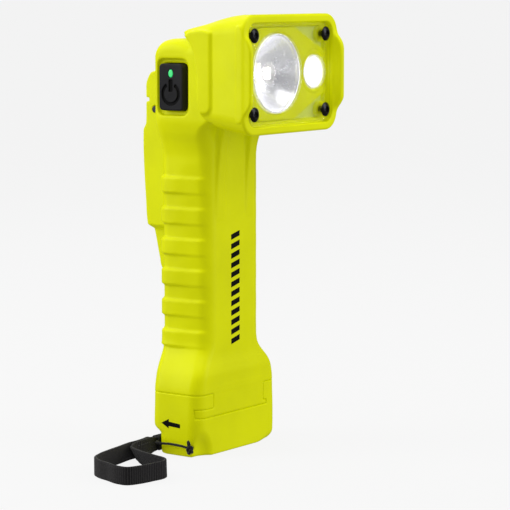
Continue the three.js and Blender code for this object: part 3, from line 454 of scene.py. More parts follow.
def make_materials():
    looks = {
        # The yellow plastic carries a painted glow that brightens it.
        "yellow": moulded_plastic("yellow_plastic", YELLOW_LOW, YELLOW_HIGH, painted_glow=0.145),
        "deck": moulded_plastic("pale_deck", (0.66, 0.74, 0.1), (0.72, 0.8, 0.14), (0.5, 0.6)),
        "black": moulded_plastic("black_plastic", (0.012, 0.012, 0.013), (0.02, 0.02, 0.021)),
        "rubber": moulded_plastic("button_rubber", (0.018, 0.018, 0.02), (0.028, 0.028, 0.031),
                                  (0.55, 0.7), 0.00022, 0.3),
        "seal": moulded_plastic("black_rubber", (0.012, 0.012, 0.012), (0.02, 0.02, 0.02),
                                (0.6, 0.75), 0.0003, 0.25),
        # The darkest black is the ink of the printed marks, and also painted shade on the floors of
        # the power sign's grooves.
        "ink_and_groove_shade": moulded_plastic("black_ink_and_groove_shade", (0.003, 0.003, 0.003), (0.007, 0.007, 0.0065),
                               (0.55, 0.7), 0.0002, 0.2),
        "webbing": ribbed_webbing(),
        "cord": cloth_thread("cord_fibre", (0.003, 0.003, 0.0035), (0.013, 0.013, 0.014)),
        "thread": cloth_thread("stitch_thread", (0.02, 0.02, 0.022), (0.06, 0.06, 0.064)),
    }
    s = Shader("clear_plastic", Roughness=0.04, IOR=1.49, Base_Color=(0.97, 0.985, 0.96, 1),
               Transmission_Weight=1.0, Alpha=0.16)
    s.bump(s.noise(0.012, 2), 0.03, 0.0004)
    looks["clear"] = s.material

    # The reflectors' emission is a painted glow: pale light painted on the mirrors in place of what
    # they reflect.
    s = Shader("silvered", Metallic=1.0, Base_Color=(0.9, 0.9, 0.93, 1),
               Emission_Color=(0.94, 0.94, 1.0, 1), Emission_Strength=0.34)
    s.rough(s.ramp(s.noise(0.002, 3), 0.2, 0.28))
    s.bump(s.noise(0.0025, 2), 0.02, 0.0003)
    looks["silvered"] = s.material

    s = Shader("black_steel", Metallic=0.7, Specular_IOR_Level=0.6)
    s.colour(s.ramp(s.noise(0.0012, 3), (0.008, 0.008, 0.01), (0.02, 0.02, 0.024)))
    s.rough(s.ramp(s.noise(0.0008, 3), 0.14, 0.26))
    s.bump(s.noise(0.0004, 2), 0.1, 0.00004)
    looks["black_steel"] = s.material

    s = Shader("plated_steel", Metallic=1.0)
    s.colour(s.ramp(s.noise(0.003, 3), (0.52, 0.52, 0.54), (0.66, 0.66, 0.68)))
    s.rough(s.ramp(s.noise(0.0009, 4, (1, 1, 6)), 0.22, 0.36))
    s.bump(s.noise(0.0003, 2), 0.08, 0.00003)
    looks["steel"] = s.material

    s = Shader("satin_aluminium", Metallic=1.0)
    s.colour(s.ramp(s.noise(0.004, 3), (0.5, 0.51, 0.52), (0.62, 0.63, 0.64)))
    s.rough(s.ramp(s.noise(0.0007, 4, (8, 1, 1)), 0.36, 0.5))
    s.bump(s.noise(0.0004, 2, (10, 1, 1)), 0.15, 0.00004)
    looks["aluminium"] = s.material

    s = Shader("circuit_board", Roughness=0.4)
    s.colour(s.ramp(s.noise(0.0022, 1), (0.01, 0.09, 0.035), (0.02, 0.14, 0.055), at=(0.48, 0.52)))
    s.bump(s.noise(0.0022, 1), 0.2, 0.00005)
    looks["board"] = s.material

    s = Shader("white_board", Roughness=0.5)
    s.colour(s.ramp(s.noise(0.003, 2), (0.72, 0.72, 0.68), (0.82, 0.82, 0.79)))
    s.bump(s.noise(0.0008, 2), 0.1, 0.00004)
    looks["white_board"] = s.material

    s = Shader("cell_jacket", Metallic=0.4)
    s.colour(s.ramp(s.noise(0.02, 2), (0.03, 0.035, 0.045), (0.06, 0.065, 0.08)))
    s.rough(s.ramp(s.noise(0.002, 3), 0.28, 0.4))
    looks["cell"] = s.material

    looks["led"] = lit("led_phosphor", (1.0, 0.96, 0.92), 30)
    looks["flood"] = lit("lit_diffuser", (1.0, 0.985, 0.95), 1.5)
    looks["green"] = lit("green_lamp", (0.03, 0.6, 0.16), 0.55)
    return looks


def lit(name, colour, strength):
    """A lit part, a little uneven across its face."""
    s = Shader(name, Roughness=0.4, Base_Color=(*colour, 1), Emission_Strength=strength)
    s.link(s.ramp(s.noise(0.0008, 2), tuple(0.86 * c for c in colour), colour),
           s.surface.inputs["Emission Color"])
    return s.material


LOOKS = make_materials()


# ----------------------------------------------------------------------------- lanyard

STRAP_WIDTH = 8.3
STRAP_THICKNESS = 1.3
CORD_RADIUS = 0.6

CORD_PATH = [
    (-23.4, -8.4, 4.7), (-25.4, -9.15, 4.7), (-27.6, -10, 4.65), (-29.8, -10.85, 4.6),
    (-31.6, -11.5, 4.6), (-32.8, -11.4, 4.8), (-33.4, -10.2, 5.1), (-33.6, -8.4, 5.4),
    (-33.4, -6, 5.5), (-33.1, -3, 5.5), (-32.9, 0, 5.5), (-32.9, 3, 5.3), (-32.8, 5.4, 5.15),
    (-32.2, 7.6, 5), (-30.9, 9.3, 4.9), (-29.4, 10, 4.9), (-28.4, 10.1, 4.9),
]

# Each point is (x, y, dx, dy): the strap's middle, and how far its lower edge lies from its
# upper edge where it leans.
STRAP_PATH = [
    (-28.4, 13.6, 0, 0), (-31, 12.9, 0, 0), (-34.5, 11.5, 0, 0), (-38.4, 9.9, 0, 0),
    (-44.7, 8.9, 0, 0), (-51.9, 8.8, 0, 0), (-60.8, 7.3, 0, 0), (-69.5, 6, 0, 0),
    (-78.1, 4.2, 0, 0), (-85.3, 1, 0, 0), (-89.3, -4.5, 0, 0), (-91.6, -11.5, 0, 0),
    (-94, -18.5, 0, 0), (-93.6, -24, 0, 0), (-88, -26.7, 0, 0), (-80.5, -28, 0, 0),
    (-73.5, -28.6, 0, 0), (-69.2, -26, 0.3, -0.2), (-65.5, -17, 1.4, -0.9),
    (-62.5, -10, 2.3, -1.3), (-59.5, -4.5, 3, -1.6), (-56.5, 0.5, 3.5, -1.9),
    (-53.9, 3.6, 3.8, -1.9), (-52.1, 5.6, 4.6, -0.3), (-49, 7.2, 2.5, 0),
    (-44.6, 7.4, 0, 0), (-38.4, 8.4, 0, 0), (-34.5, 9.9, 0, 0), (-31, 11.3, 0, 0),
    (-28.4, 11.9, 0, 0),
]


def strap_section(count=9):
    """The strap's section as (height, side) shares of half its width and half its thickness."""
    heights = np.linspace(-0.95, 0.95, count)
    left = [(h, 1.0) for h in heights]
    top = [(0.985, 0.72), (1.0, 0.0), (0.985, -0.72)]
    right = [(h, -1.0) for h in heights[::-1]]
    bottom = [(-0.985, -0.72), (-1.0, 0.0), (-0.985, 0.72)]
    return np.array(left + top + right + bottom)


def make_strap():
    middle = STRAP_WIDTH / 2
    path = smooth_path([(x, y, middle) for x, y, _, _ in STRAP_PATH], WEAVE_PITCH / 6)
    ahead, _, _ = directions(path)
    nearest = [np.hypot(path[:, 0] - x, path[:, 1] - y).argmin() for x, y, _, _ in STRAP_PATH]
    lean = [np.interp(np.arange(len(path)), nearest, [p[k] for p in STRAP_PATH]) for k in (2, 3)]
    along = np.arange(len(path)) * path_length(path) / (len(path) - 1)
    gathered = eased((0, 0.8), (10, 1))(np.minimum(along, along[-1] - along))
    tall = gathered * np.sqrt(STRAP_WIDTH**2 - lean[0] ** 2 - lean[1] ** 2)
    width = np.stack([-lean[0], -lean[1], tall], 1) / 2
    path[:, 2] = tall / 2
    side = np.cross(width, ahead)
    side /= np.linalg.norm(side, axis=1)[:, None]
    path[:, 2] += STRAP_THICKNESS / 2 * np.abs(side[:, 2])
    section = strap_section()
    rib = 0.5 + 0.5 * np.cos(2 * math.pi * along / WEAVE_PITCH)
    half = STRAP_THICKNESS / 2 * (0.84 + 0.16 * rib)
    points = []
    for place, out, thick, high in zip(path, side, half, width):
        points.append(place + section[:, 1:] * thick * out + section[:, :1] * high)
    around = len(section)
    faces = tube_faces(len(path), around)
    made = new_object("lanyard_webbing", np.vstack(points), faces, [LOOKS["webbing"]])
    uv = made.data.uv_layers.new(name="weave")
    corner_vertex = np.zeros(len(made.data.loops), int)
    made.data.loops.foreach_get("vertex_index", corner_vertex)
    across = section[corner_vertex % around, 0] * middle
    uv.data.foreach_set("uv", np.stack([along[corner_vertex // around], across], 1).ravel())
    settle(made, "cap", "webbing", "lanyard_strap")
    return made, path


def make_cord():
    """Three strands twisted together."""
    path = smooth_path(CORD_PATH, 0.12)
    _, side, up = directions(path)
    around, strands, lay = 18, 3, 2.4
    turn = np.arange(around) * 2 * math.pi / around
    along = np.arange(len(path)) * path_length(path) / (len(path) - 1)
    points = []
    for place, out, high, reach in zip(path, side, up, along):
        swell = np.abs(np.cos(strands * (turn - 2 * math.pi * reach / lay) / 2))
        radius = CORD_RADIUS * (0.74 + 0.26 * swell)
        points.append(place + (radius * np.cos(turn))[:, None] * out
                      + (radius * np.sin(turn))[:, None] * high)
    faces = tube_faces(len(path), around)
    made = new_object("lanyard_thin_cord", np.vstack(points), faces, [LOOKS["cord"]])
    settle(made, "cap", "cord_fibre", "lanyard_cord")
    return made, path


def make_knot(name, node, tube):
    """A trefoil knot drawn tight, as large as its CAD node."""
    low, high = span(node)
    middle, half = (low + high) / 2, (high - low) / 2
    steps, around = 150, 12
    t = np.arange(steps) * 2 * math.pi / steps
    line = np.stack([
        (2 + np.cos(3 * t)) * np.cos(2 * t) / 3,
        np.sin(3 * t),
        (2 + np.cos(3 * t)) * np.sin(2 * t) / 3,
    ], 1)
    line = line * (half - tube) * [1, 0.72, 1] + middle
    ahead = np.roll(line, -1, 0) - np.roll(line, 1, 0)
    ahead /= np.linalg.norm(ahead, axis=1)[:, None]
    out = line - middle
    out -= (out * ahead).sum(1)[:, None] * ahead
    out /= np.linalg.norm(out, axis=1)[:, None]
    side = np.cross(ahead, out)
    turn = np.arange(around) * 2 * math.pi / around
    points = [p + tube * (np.cos(turn)[:, None] * o + np.sin(turn)[:, None] * s)
              for p, o, s in zip(line, out, side)]
    faces = ring_faces(steps, around, closed=True)
    made = new_object(name, np.vstack(points), faces, [LOOKS["cord"]])
    return settle(made, "cap", "cord_fibre", node)


def make_knot_loop():
    """The small bight that stands up out of the knot."""
    path = smooth_path([(-33.4, -12.2, 5.0), (-33.7, -12.5, 6.6), (-33.7, -12.1, 7.9),
                        (-33.6, -11.5, 8.2), (-33.5, -11.2, 7.4), (-33.3, -11.4, 5.4)], 0.2)
    ahead = np.gradient(path, axis=0)
    ahead /= np.linalg.norm(ahead, axis=1)[:, None]
    out = np.cross(ahead, [1.0, 0.0, 0.0])
    out /= np.linalg.norm(out, axis=1)[:, None]
    side = np.cross(ahead, out)
    around = 12
    turn = np.arange(around) * 2 * math.pi / around
    points = [p + 0.42 * (np.cos(turn)[:, None] * o + np.sin(turn)[:, None] * w)
              for p, o, w in zip(path, out, side)]
    faces = tube_faces(len(path), around)
    made = new_object("lanyard_knot_loop", np.vstack(points), faces, [LOOKS["cord"]])
    return settle(made, "cap", "cord_fibre")


def ferrule_field(x, y, z):
    low, high = span("lanyard_ferrule")
    across = rect_between(y, z, low[1], high[1], low[2], 7.1, 1.2)
    body = meet(across, between(x, low[0], high[0]), 0.7)
    pitch = 1.6
    groove = np.abs(x - low[0] - 1.9 - pitch * np.clip(np.round((x - low[0] - 1.9) / pitch), 0, 2))
    return carve(body, np.maximum(groove - 0.3, -across - 0.35), 0.15)


strap, strap_path = make_strap()
thin_cord, cord_path = make_cord()
knot = make_knot("lanyard_outer_knot", "lanyard_knot", 0.82)
knot_loop = make_knot_loop()
stop_knot = make_knot("lanyard_inner_knot", "lanyard_stop_knot", 0.5)
ferrule = moulded("lanyard_crimp", ferrule_field, 0.2, [LOOKS["black"]], "cap",
                  "black_plastic", "lanyard_ferrule")


def make_stitches():
    """Two rows of stitches through the doubled end of the strap."""
    steps, around = 6, 6
    points, faces = [], []
    turn = np.arange(around) * 2 * math.pi / around
    outer = [smooth_path([(x, y, 0) for x, y, _, _ in STRAP_PATH[:6]], 0.1),
             smooth_path([(x, y, 0) for x, y, _, _ in STRAP_PATH[:-8:-1]], 0.1)]
    for line, hand in zip(outer, (1, -1)):
        for height in (2.0, STRAP_WIDTH - 2.0):
            for start in range(108, 200, 17):
                middle = line[start]
                ahead = line[start + 5] - line[start - 5]
                ahead /= np.linalg.norm(ahead)
                out = np.array([-ahead[1], ahead[0], 0.0])
                out *= 1 if out[1] * hand > 0 else -1
                base = middle + out * (STRAP_THICKNESS / 2 + 0.02)
                base[2] = height
                first = len(points)
                for k in range(steps):
                    share = k / (steps - 1) * 2 - 1
                    bulge = 0.17 * math.sqrt(max(0.02, 1 - share**4))
                    centre = base + ahead * share * 0.62
                    for a in turn:
                        points.append(centre + bulge * (math.cos(a) * out
                                                        + math.sin(a) * np.array([0, 0, 1.0])))
                quads = ring_faces(steps, around)
                faces += [tuple(first + i for i in q) for q in quads]
                faces += [tuple(first + i for i in range(around)),
                          tuple(first + (steps - 1) * around + i for i in range(around))[::-1]]
    made = new_object("lanyard_stitches", points, faces, [LOOKS["thread"]])
    return settle(made, "cap", "webbing")


stitches = make_stitches()


# ------------------------------------------------------------------- handle and tower

RIB_PITCH = 14.4
RIB_FIRST = 53.6
HANDLE_TOP = span("handle_housing")[1][2]

HALF_WIDTH = eased((16, 31.5), (29, 31.3), (33, 30.8), (38, 29.3), (43, 26.5), (47.5, 23.8),
                   (51.5, 22.5), (55, 22.3), (138, 22.3), (145, 23.4), (151, 25.4), (157, 26.5),
                   (200, 26.5))
FRONT = eased((16, -16), (37, -16), (41, -15.3), (44.5, -14.3), (48, -14), (145, -14),
              (152, -14.8), (158, -20), (200, -20))
REAR = eased((16, 13), (34, 13), (43, 13.6), (51, 14), (138, 14), (145, 14.4), (151, 15.3),
             (158, 16), (200, 16))
CORNER = eased((16, 6.5), (46, 6), (145, 6), (158, 7), (200, 7))
NOSE = eased((16, 6.5), (46, 6), (146, 6), (158, 2.5))
SIDE_BOW = eased((40, 0), (50, 1), (140, 1), (152, 0))
PAD_RISE = eased((-13.5, 0), (-10, 0.35), (-2, 0.65), (6, 1.3))
GAP_DIP = eased((-13, 0), (-8, 0.55), (4, 0))
RIDGE_FRONT = eased((108, -13), (114, -13.9), (128, -14.9), (143, -16.4), (155, -18.2))


def grip_section(x, y, z):
    front, rear, corner = FRONT(z), REAR(z), np.where(y < 0, NOSE(z), CORNER(z))
    half = HALF_WIDTH(z) - 0.006 * SIDE_BOW(z) * np.maximum(0, 4 - y) ** 2
    return rect(x, y - (front + rear) / 2, half, (rear - front) / 2, corner)


def grip_relief(x, y, z):
    """How far the pads on the grip's sides stand out, or the gaps above them sink in."""
    count = np.where(x < 0, 6, 7)
    nearest = np.clip(np.round((z - RIB_FIRST) / RIB_PITCH), 0, count - 1)
    rise = z - RIB_FIRST - nearest * RIB_PITCH
    pad = np.clip(np.minimum((4.6 - rise) / 1.4, (rise + 4.2) / 1.0), 0, 1)
    above = np.where(rise > 0, 10.2 - rise, -4.2 - rise)
    dip = np.clip(above / 6, 0, 1) * (1 - pad) * ((rise > 0) | (nearest > 0))
    beside = np.clip((np.abs(x) - 10) / 3, 0, 1)
    return (PAD_RISE(y) * pad - GAP_DIP(y) * dip) * beside


def neck_ridges(x, y, z):
    ridge = meet(np.abs(np.abs(x) - 11.5) - 3.1, RIDGE_FRONT(z) - y, 0.9)
    return meet(ridge, np.maximum(y + 12, np.maximum(110 - z, z - 154)), 0.5)


INNER_HALF = eased((146, 20), (156, 21))
INNER_FRONT = eased((152, -11.7), (162, -16.6))
INNER_REAR = eased((146, 11.7), (156, 13.2))

BUTTON_LOW, BUTTON_HIGH = span("power_button")
BUTTON_Y = (BUTTON_LOW[1] + BUTTON_HIGH[1]) / 2
BUTTON_Z = (BUTTON_LOW[2] + BUTTON_HIGH[2]) / 2
BUTTON_FACE = BUTTON_LOW[0]
BUTTON_HALF = (6.9, 10.8)


def button_outline(y, z, grow, corner):
    return rect(y - BUTTON_Y, z - BUTTON_Z, BUTTON_HALF[0] + grow, BUTTON_HALF[1] + grow, corner)


def rail_field(x, y, z, grow):
    """The inverted-T rail under the handle, with its wide foot on the left."""
    front = -30 if grow else -40
    rear = 9 + grow
    low = 18.2 - grow
    stem = np.maximum(between(x, -19.8 - grow, 19.8 + grow), low - z)
    left = np.maximum(between(x, -30.3 - grow, 0), between(z, low, 22.3 + grow))
    right = np.maximum(between(x, 0, 22.2 + grow), between(z, low, 20.3 + grow))
    whole = np.minimum(stem, np.minimum(left, right))
    return np.maximum(np.maximum(whole, front - y), np.maximum(y - rear, z - 32.5))


def handle_field(x, y, z):
    top = HANDLE_TOP - 0.024 * (np.maximum(y, -6) - 3) ** 2
    outer = meet(grip_section(x, y, z) - grip_relief(x, y, z), z - top, 5.6)
    outer = np.maximum(outer, 29 - z)
    outer = join(outer, neck_ridges(x, y, z), 1.6)
    column = rect_between(x, y, -31.4, 31.4, -16, 13, 6.5)
    foot = np.maximum(rail_field(x, y, z, 0.0), column)
    outer = join(outer, foot, 0.15)
    inner = rect_between(x, y, -INNER_HALF(z), INNER_HALF(z), INNER_FRONT(z), INNER_REAR(z), 4)
    inner = meet(inner, between(z, 32, 188), 3)
    bore = np.maximum(rect_between(x, y, -16.6, 16.6, -10.6, 6.6, 3), between(z, 10, 33))
    outer = carve(outer, np.minimum(inner, bore), 0.5)
    recess = np.maximum(button_outline(y, z, 2.2, 3.6), x + 24.1)
    outer = carve(outer, recess, 0.9)
    opening = np.maximum(button_outline(y, z, 0.3, 2.3), x + 20)
    return carve(outer, opening, 0.4)


moulded("handle_shell", handle_field, 0.62, [LOOKS["yellow"]], "housing", "yellow_plastic",
        "handle_housing")


# ------------------------------------------------------------------------------- head

HEAD_LOW, HEAD_HIGH = span("head_housing")
LENS_LOW, LENS_HIGH = span("lens_plate")
HEAD_FRONT = -46.3
RIM_HALF = HEAD_HIGH[0]
DECK_Y = -41

HEAD_HALF = eased((HEAD_FRONT, RIM_HALF), (-42, 37.1), (-30, 35), (-21, 33.4), (-13, 33), (-8, 32.6))
HEAD_FLOOR = eased((HEAD_FRONT, HEAD_LOW[2]), (-42, 151.2), (-30, 153), (-21, 154.6), (-13, 156),
                   (-8, 157))
HEAD_ROOF = eased((HEAD_FRONT, HEAD_HIGH[2]), (-42, 205), (-36, 204.5), (-32.6, 204), (-27, 202.8),
                  (-21.3, 201.2), (-15.6, 199.6), (-9.9, 198.1), (-7, 197))
HEAD_CORNER = eased((HEAD_FRONT, 8.6), (-30, 8), (-21, 6.4), (-13, 3.6), (-8, 2.6))
HEAD_BACK = eased((140, -24.4), (154, -24.4), (155.5, -24.2), (156.6, -22), (158.1, -19.7),
                  (160, -18.3), (162.7, -17.4), (166, -16.9), (175.4, -16.6), (179, -16.3),
                  (182.7, -15.8), (185.8, -15.2), (189, -14.1), (192, -12.4), (194.3, -10.7),
                  (195.9, -9.2), (197.2, -7.6), (205, -7.3))
CHEEK_BACK = eased((160.2, -19.4), (162.8, -18.6), (166.5, -18), (171, -18), (179, -17.5),
                   (182.7, -16.9), (185.8, -16.4), (189, -15.3), (192.1, -13.6), (194.3, -11.8),
                   (195.9, -10.7))
CHEEK_TOP = eased((-27.2, 196.8), (-24.9, 197.2), (-22.7, 197.8), (-19.8, 198.1), (-17, 197.9),
                  (-14.1, 197.3), (-10.7, 195.9))
GUARD_FRONT = eased((155, -43), (158, -45.2), (159.6, -46.3), (161.3, -47.5), (163.2, -48.9),
                    (165.2, -50), (167.2, -50.3), (188.3, -50.3), (189.8, -50.1), (191.4, -49.6),
                    (193.3, -48.5), (195, -47.1), (196.6, -46.2), (199, -45), (202, -43))

BEAM_Z = 178.0
SPOT = (-6.7, BEAM_Z)
FLOOD = (22.9, BEAM_Z)
SCREWS = [(-28.2, 195.6), (28.2, 195.6), (-28.2, 160.3), (28.2, 160.3)]


def lens_outline(x, z, grow):
    return rect_between(x, z, LENS_LOW[0] - grow, LENS_HIGH[0] + grow,
                        LENS_LOW[2] - grow, LENS_HIGH[2] + grow, 5 + grow)


def teardrop(x, z, spot_radius, flood_radius):
    """Two circles about the beams joined by their outer tangents."""
    apart = FLOOD[0] - SPOT[0]
    lean = (spot_radius - flood_radius) / apart
    rise = math.sqrt(1 - lean * lean)
    across, along = np.abs(z - SPOT[1]), x - SPOT[0]
    beside = along * rise - across * lean
    sides = across * rise + along * lean - spot_radius
    small = np.hypot(across, along - apart) - flood_radius
    large = np.hypot(across, along) - spot_radius
    return np.where(beside < 0, large, np.where(beside > apart * rise, small, sides))


def head_field(x, y, z):
    wide = np.abs(x)
    floor, roof = HEAD_FLOOR(y), HEAD_ROOF(y)
    shell = rect(x, z - (floor + roof) / 2, HEAD_HALF(y), (roof - floor) / 2, HEAD_CORNER(y))
    shell = meet(shell, HEAD_FRONT - y, 1.3)
    shell = meet(shell, (y - HEAD_BACK(z)) * 0.9, 1.0)
    inner_wall = (33.8 + 0.3 * (HEAD_FRONT - y) - wide) * 0.95
    guard = meet(GUARD_FRONT(z) - y, meet(inner_wall, wide - HEAD_HALF(y), 0.6), 0.9)
    guard = np.maximum(guard, np.maximum(y + 42, between(z, 157, 200)))
    shell = join(shell, guard, 0.8)
    panel = rect_between(y, z, -26, 30, 160, 230, 4)
    panel = meet(panel, np.maximum(0.9 * (y - CHEEK_BACK(z)), z - CHEEK_TOP(y)), 0.8)
    panel = meet(panel, between(wide, 28, 35.3), 1.2)
    shell = join(shell, panel, 1.2)
    pocket = np.maximum(lens_outline(x, z, 0.3), y + 42.8)
    shell = carve(shell, pocket, 0.5)
    deck = np.maximum(lens_outline(x, z, -1.6), y - DECK_Y)
    mouth = np.maximum(teardrop(x, z, 20.5, 9.6), between(y, DECK_Y - 2, -35))
    inner = rect(x, z - BEAM_Z, 33.4 + (y + 40) * -0.16, 22.6 + (y + 40) * -0.16, 4.5)
    inner = meet(inner, between(y, -38, -19.5), 1)
    shell = carve(shell, np.minimum(deck, np.minimum(mouth, inner)), 0.4)
    for px, pz in SCREWS:
        boss = np.maximum(np.hypot(x - px, z - pz) - 3.8, between(y, -42.8, -31))
        pilot = np.maximum(np.hypot(x - px, z - pz) - 1.7, between(y, -50, -32))
        shell = np.maximum(np.minimum(shell, boss), -pilot)
    seat = np.maximum(between(x, -26.8, 26.8), np.maximum(-20.3 - y, z - 192.2))
    return carve(shell, seat, 0.3)


def deck_paint(x, y, z):
    on_deck = (np.abs(y - DECK_Y) < 0.25) & (lens_outline(x, z, -1.9) < 0)
    return on_deck & (teardrop(x, z, 25.2, 12.8) > 0)


moulded("head_shell", head_field, 0.55, [LOOKS["yellow"], LOOKS["deck"]], "housing",
        "yellow_plastic", "head_housing", paint=deck_paint)


def lens_field(x, y, z):
    plate = meet(lens_outline(x, z, 0), between(y, LENS_LOW[1], LENS_HIGH[1]), 0.35)
    for px, pz in SCREWS:
        plate = carve(plate, np.hypot(x - px, z - pz) - 1.7, 0.2)
    return plate


moulded("lens_window", lens_field, 0.5, [LOOKS["clear"]], "housing", "clear_plastic", "lens_plate")


def carrier_field(x, y, z):
    low, high = span("reflector_carrier")
    plate = meet(teardrop(x, z, 25, 12.6), lens_outline(x, z, -2), 0.5)
    plate = meet(plate, between(y, low[1], high[1]), 0.35)
    spot = np.hypot(x - SPOT[0], z - SPOT[1])
    flood = np.hypot(x - FLOOD[0], z - FLOOD[1])
    plate = carve(plate, np.maximum(spot - 18.6 - (high[1] - 0.5 - y) * 1.1, y - high[1] + 0.5), 0.2)
    plate = carve(plate, np.minimum(spot - 18.6, flood - 8.3), 0.2)
    plate = carve(plate, np.maximum(np.abs(flood - 10.2) - 0.35, y - low[1] - 0.35), 0.1)
    for px, pz in SCREWS:
        plate = carve(plate, np.hypot(x - px, z - pz) - 4.1, 0.2)
    return plate


moulded("reflector_insert", carrier_field, 0.4, [LOOKS["yellow"]], "housing", "yellow_plastic",
        "reflector_carrier")


def make_reflectors():
    vertex, focal = -28.6, 5.6
    inner = [(r, vertex - r * r / (4 * focal)) for r in np.linspace(5, 17, 40)]
    lip = [(17.2, -42.5), (17.6, -42.8), (18.1, -42.8), (18.3, -42.5), (18.3, -41.2)]
    outer = [(r + 1.1, y + 0.4) for r, y in inner[::-6]]
    lathe("spot_mirror", [*inner, *lip, *outer, inner[0]], SPOT, LOOKS["silvered"], "housing",
          "silvered", "spot_reflector", sides=128)
    inner = [(3.4 + 3.4 * s, -29.6 - 10.6 * s**0.8) for s in np.linspace(0, 1, 12)]
    lip = [(6.8, -42.1), (7.0, -42.45), (7.8, -42.45), (8.0, -42.2), (8.0, -40), (4.6, -29.6)]
    lathe("flood_mirror", [*inner, *lip, inner[0]], FLOOD, LOOKS["silvered"], "housing",
          "silvered", "flood_reflector")
    dome = [(0, -42.8), (2, -42.74), (4, -42.5), (5.1, -42.2), (5.7, -41.8), (5.9, -41.3),
            (5.9, -40.9), (0, -40.9)]
    lathe("flood_window", dome, FLOOD, LOOKS["flood"], "housing", "diffuser", "flood_diffuser")


make_reflectors()


def make_led(name, node, centre):
    """A square LED package with its silicone dome."""
    low, high = span(node)
    half = (high[0] - low[0]) / 2
    board_face = high[1]

    def field(x, y, z):
        slab = meet(rect(x - centre[0], z - centre[1], half, half, 0.3),
                    between(y, board_face - 0.5, board_face), 0.1)
        dome = ellipsoid(x, y, z, (centre[0], board_face - 0.4, centre[1]),
                         (half * 0.76, half * 0.64, half * 0.76))
        return join(slab, np.maximum(dome, y - board_face + 0.4), 0.15)

    moulded(name, field, 0.16, [LOOKS["led"]], "housing", "led", node)


make_led("spot_emitter", "spot_led", SPOT)
make_led("flood_emitter", "flood_led", FLOOD)


def make_lens_screw(index, centre):
    node = f"lens_screw_{index + 1}"
    low, high = span(node)
    seat = LENS_LOW[1] - 0.3

    def field(x, y, z):
        u, v = x - centre[0], z - centre[1]
        radius = np.hypot(u, v)
        dome = np.sqrt(radius**2 + (y + 41.6) ** 2) - (-41.6 - low[1])
        head = meet(np.maximum(dome, y - seat), radius - 3.5, 0.25)
        turn = np.arctan2(v, u)
        star = radius - (1.45 + 0.28 * np.cos(6 * turn))
        head = carve(head, np.maximum(star, y - low[1] - 1.2), 0.12)
        thread = 1.36 + 0.1 * np.cos(2 * math.pi * (y / 0.8) - turn)
        shank = np.maximum(radius - thread, between(y, seat - 0.2, high[1]))
        return join(head, shank, 0.15)

    moulded(f"lens_fastener_{index + 1}", field, 0.2, [LOOKS["black_steel"]], "housing",
            "black_steel", node)


for number, place in enumerate(SCREWS):
    make_lens_screw(number, place)


# ------------------------------------------------------------------------------ button

SIGN_Z = BUTTON_Z - 3.2
LAMP_Z = (span("indicator_lamp")[0][2] + span("indicator_lamp")[1][2]) / 2


def power_sign(y, z):
    """A broken ring with an upright bar in its gap."""
    v, w = y - BUTTON_Y, z - SIGN_Z
    ring = np.abs(np.hypot(v, w) - 4.6) - 0.8
    gap = np.abs(v) - 0.546 * w
    ring = np.maximum(ring, -np.maximum(gap * 0.87, -w))
    bar = rect(v, w - 3.85, 1.15, 2.85, 0.5)
    return np.minimum(ring, bar)


def button_field(x, y, z):
    face = BUTTON_FACE - x
    cap = meet(button_outline(y, z, 0, 2.0), face, 0.8)
    cap = np.maximum(cap, x + 19.4)
    flange = np.maximum(button_outline(y, z, 1.4, 3.2), between(x, -20.6, -19.4))
    cap = join(cap, flange, 0.3)
    cap = carve(cap, np.maximum(power_sign(y, z), x - BUTTON_FACE - 0.5), 0.12)
    return carve(cap, np.maximum(lamp_oval(y, z, 0.08), x + 24.6), 0.12)


def lamp_oval(y, z, grow):
    return (np.hypot((y - BUTTON_Y) / 1.25, (z - LAMP_Z) / 1.8) - 1) * 1.4 - grow


# The floors of the power sign's grooves take the darkest black: painted shade in the grooves.
def painted_sign_shade(x, y, z):
    return (x > BUTTON_FACE + 0.3) & (power_sign(y, z) < 0) & (x < BUTTON_FACE + 0.8)


moulded("power_button_pad", button_field, 0.26, [LOOKS["rubber"], LOOKS["ink_and_groove_shade"]], "button",
        "button_rubber", "power_button", paint=painted_sign_shade)


def lamp_field(x, y, z):
    return meet(lamp_oval(y, z, 0), between(x, BUTTON_FACE - 0.12, -24.9), 0.3)


moulded("indicator_light", lamp_field, 0.14, [LOOKS["green"]], "button", "green_lamp",
        "indicator_lamp")


# ---------------------------------------------------------------------------- tail cap

CAP_HALF = eased((0, 31.5), (3.5, 31.6), (9.5, 31.8), (14.5, 31.8), (29, 31.35))
CAP_REAR = eased((0, 9), (9.4, 9.2), (12.6, 12.6), (14.6, 13), (29, 13))
CAP_TOP = 28.9
BOTTOM_EDGE = eased((14, 0.9), (28, 5))
HOLE = (-27.4, -9.9, 4.7)
HOLE_LEAN = 0.369


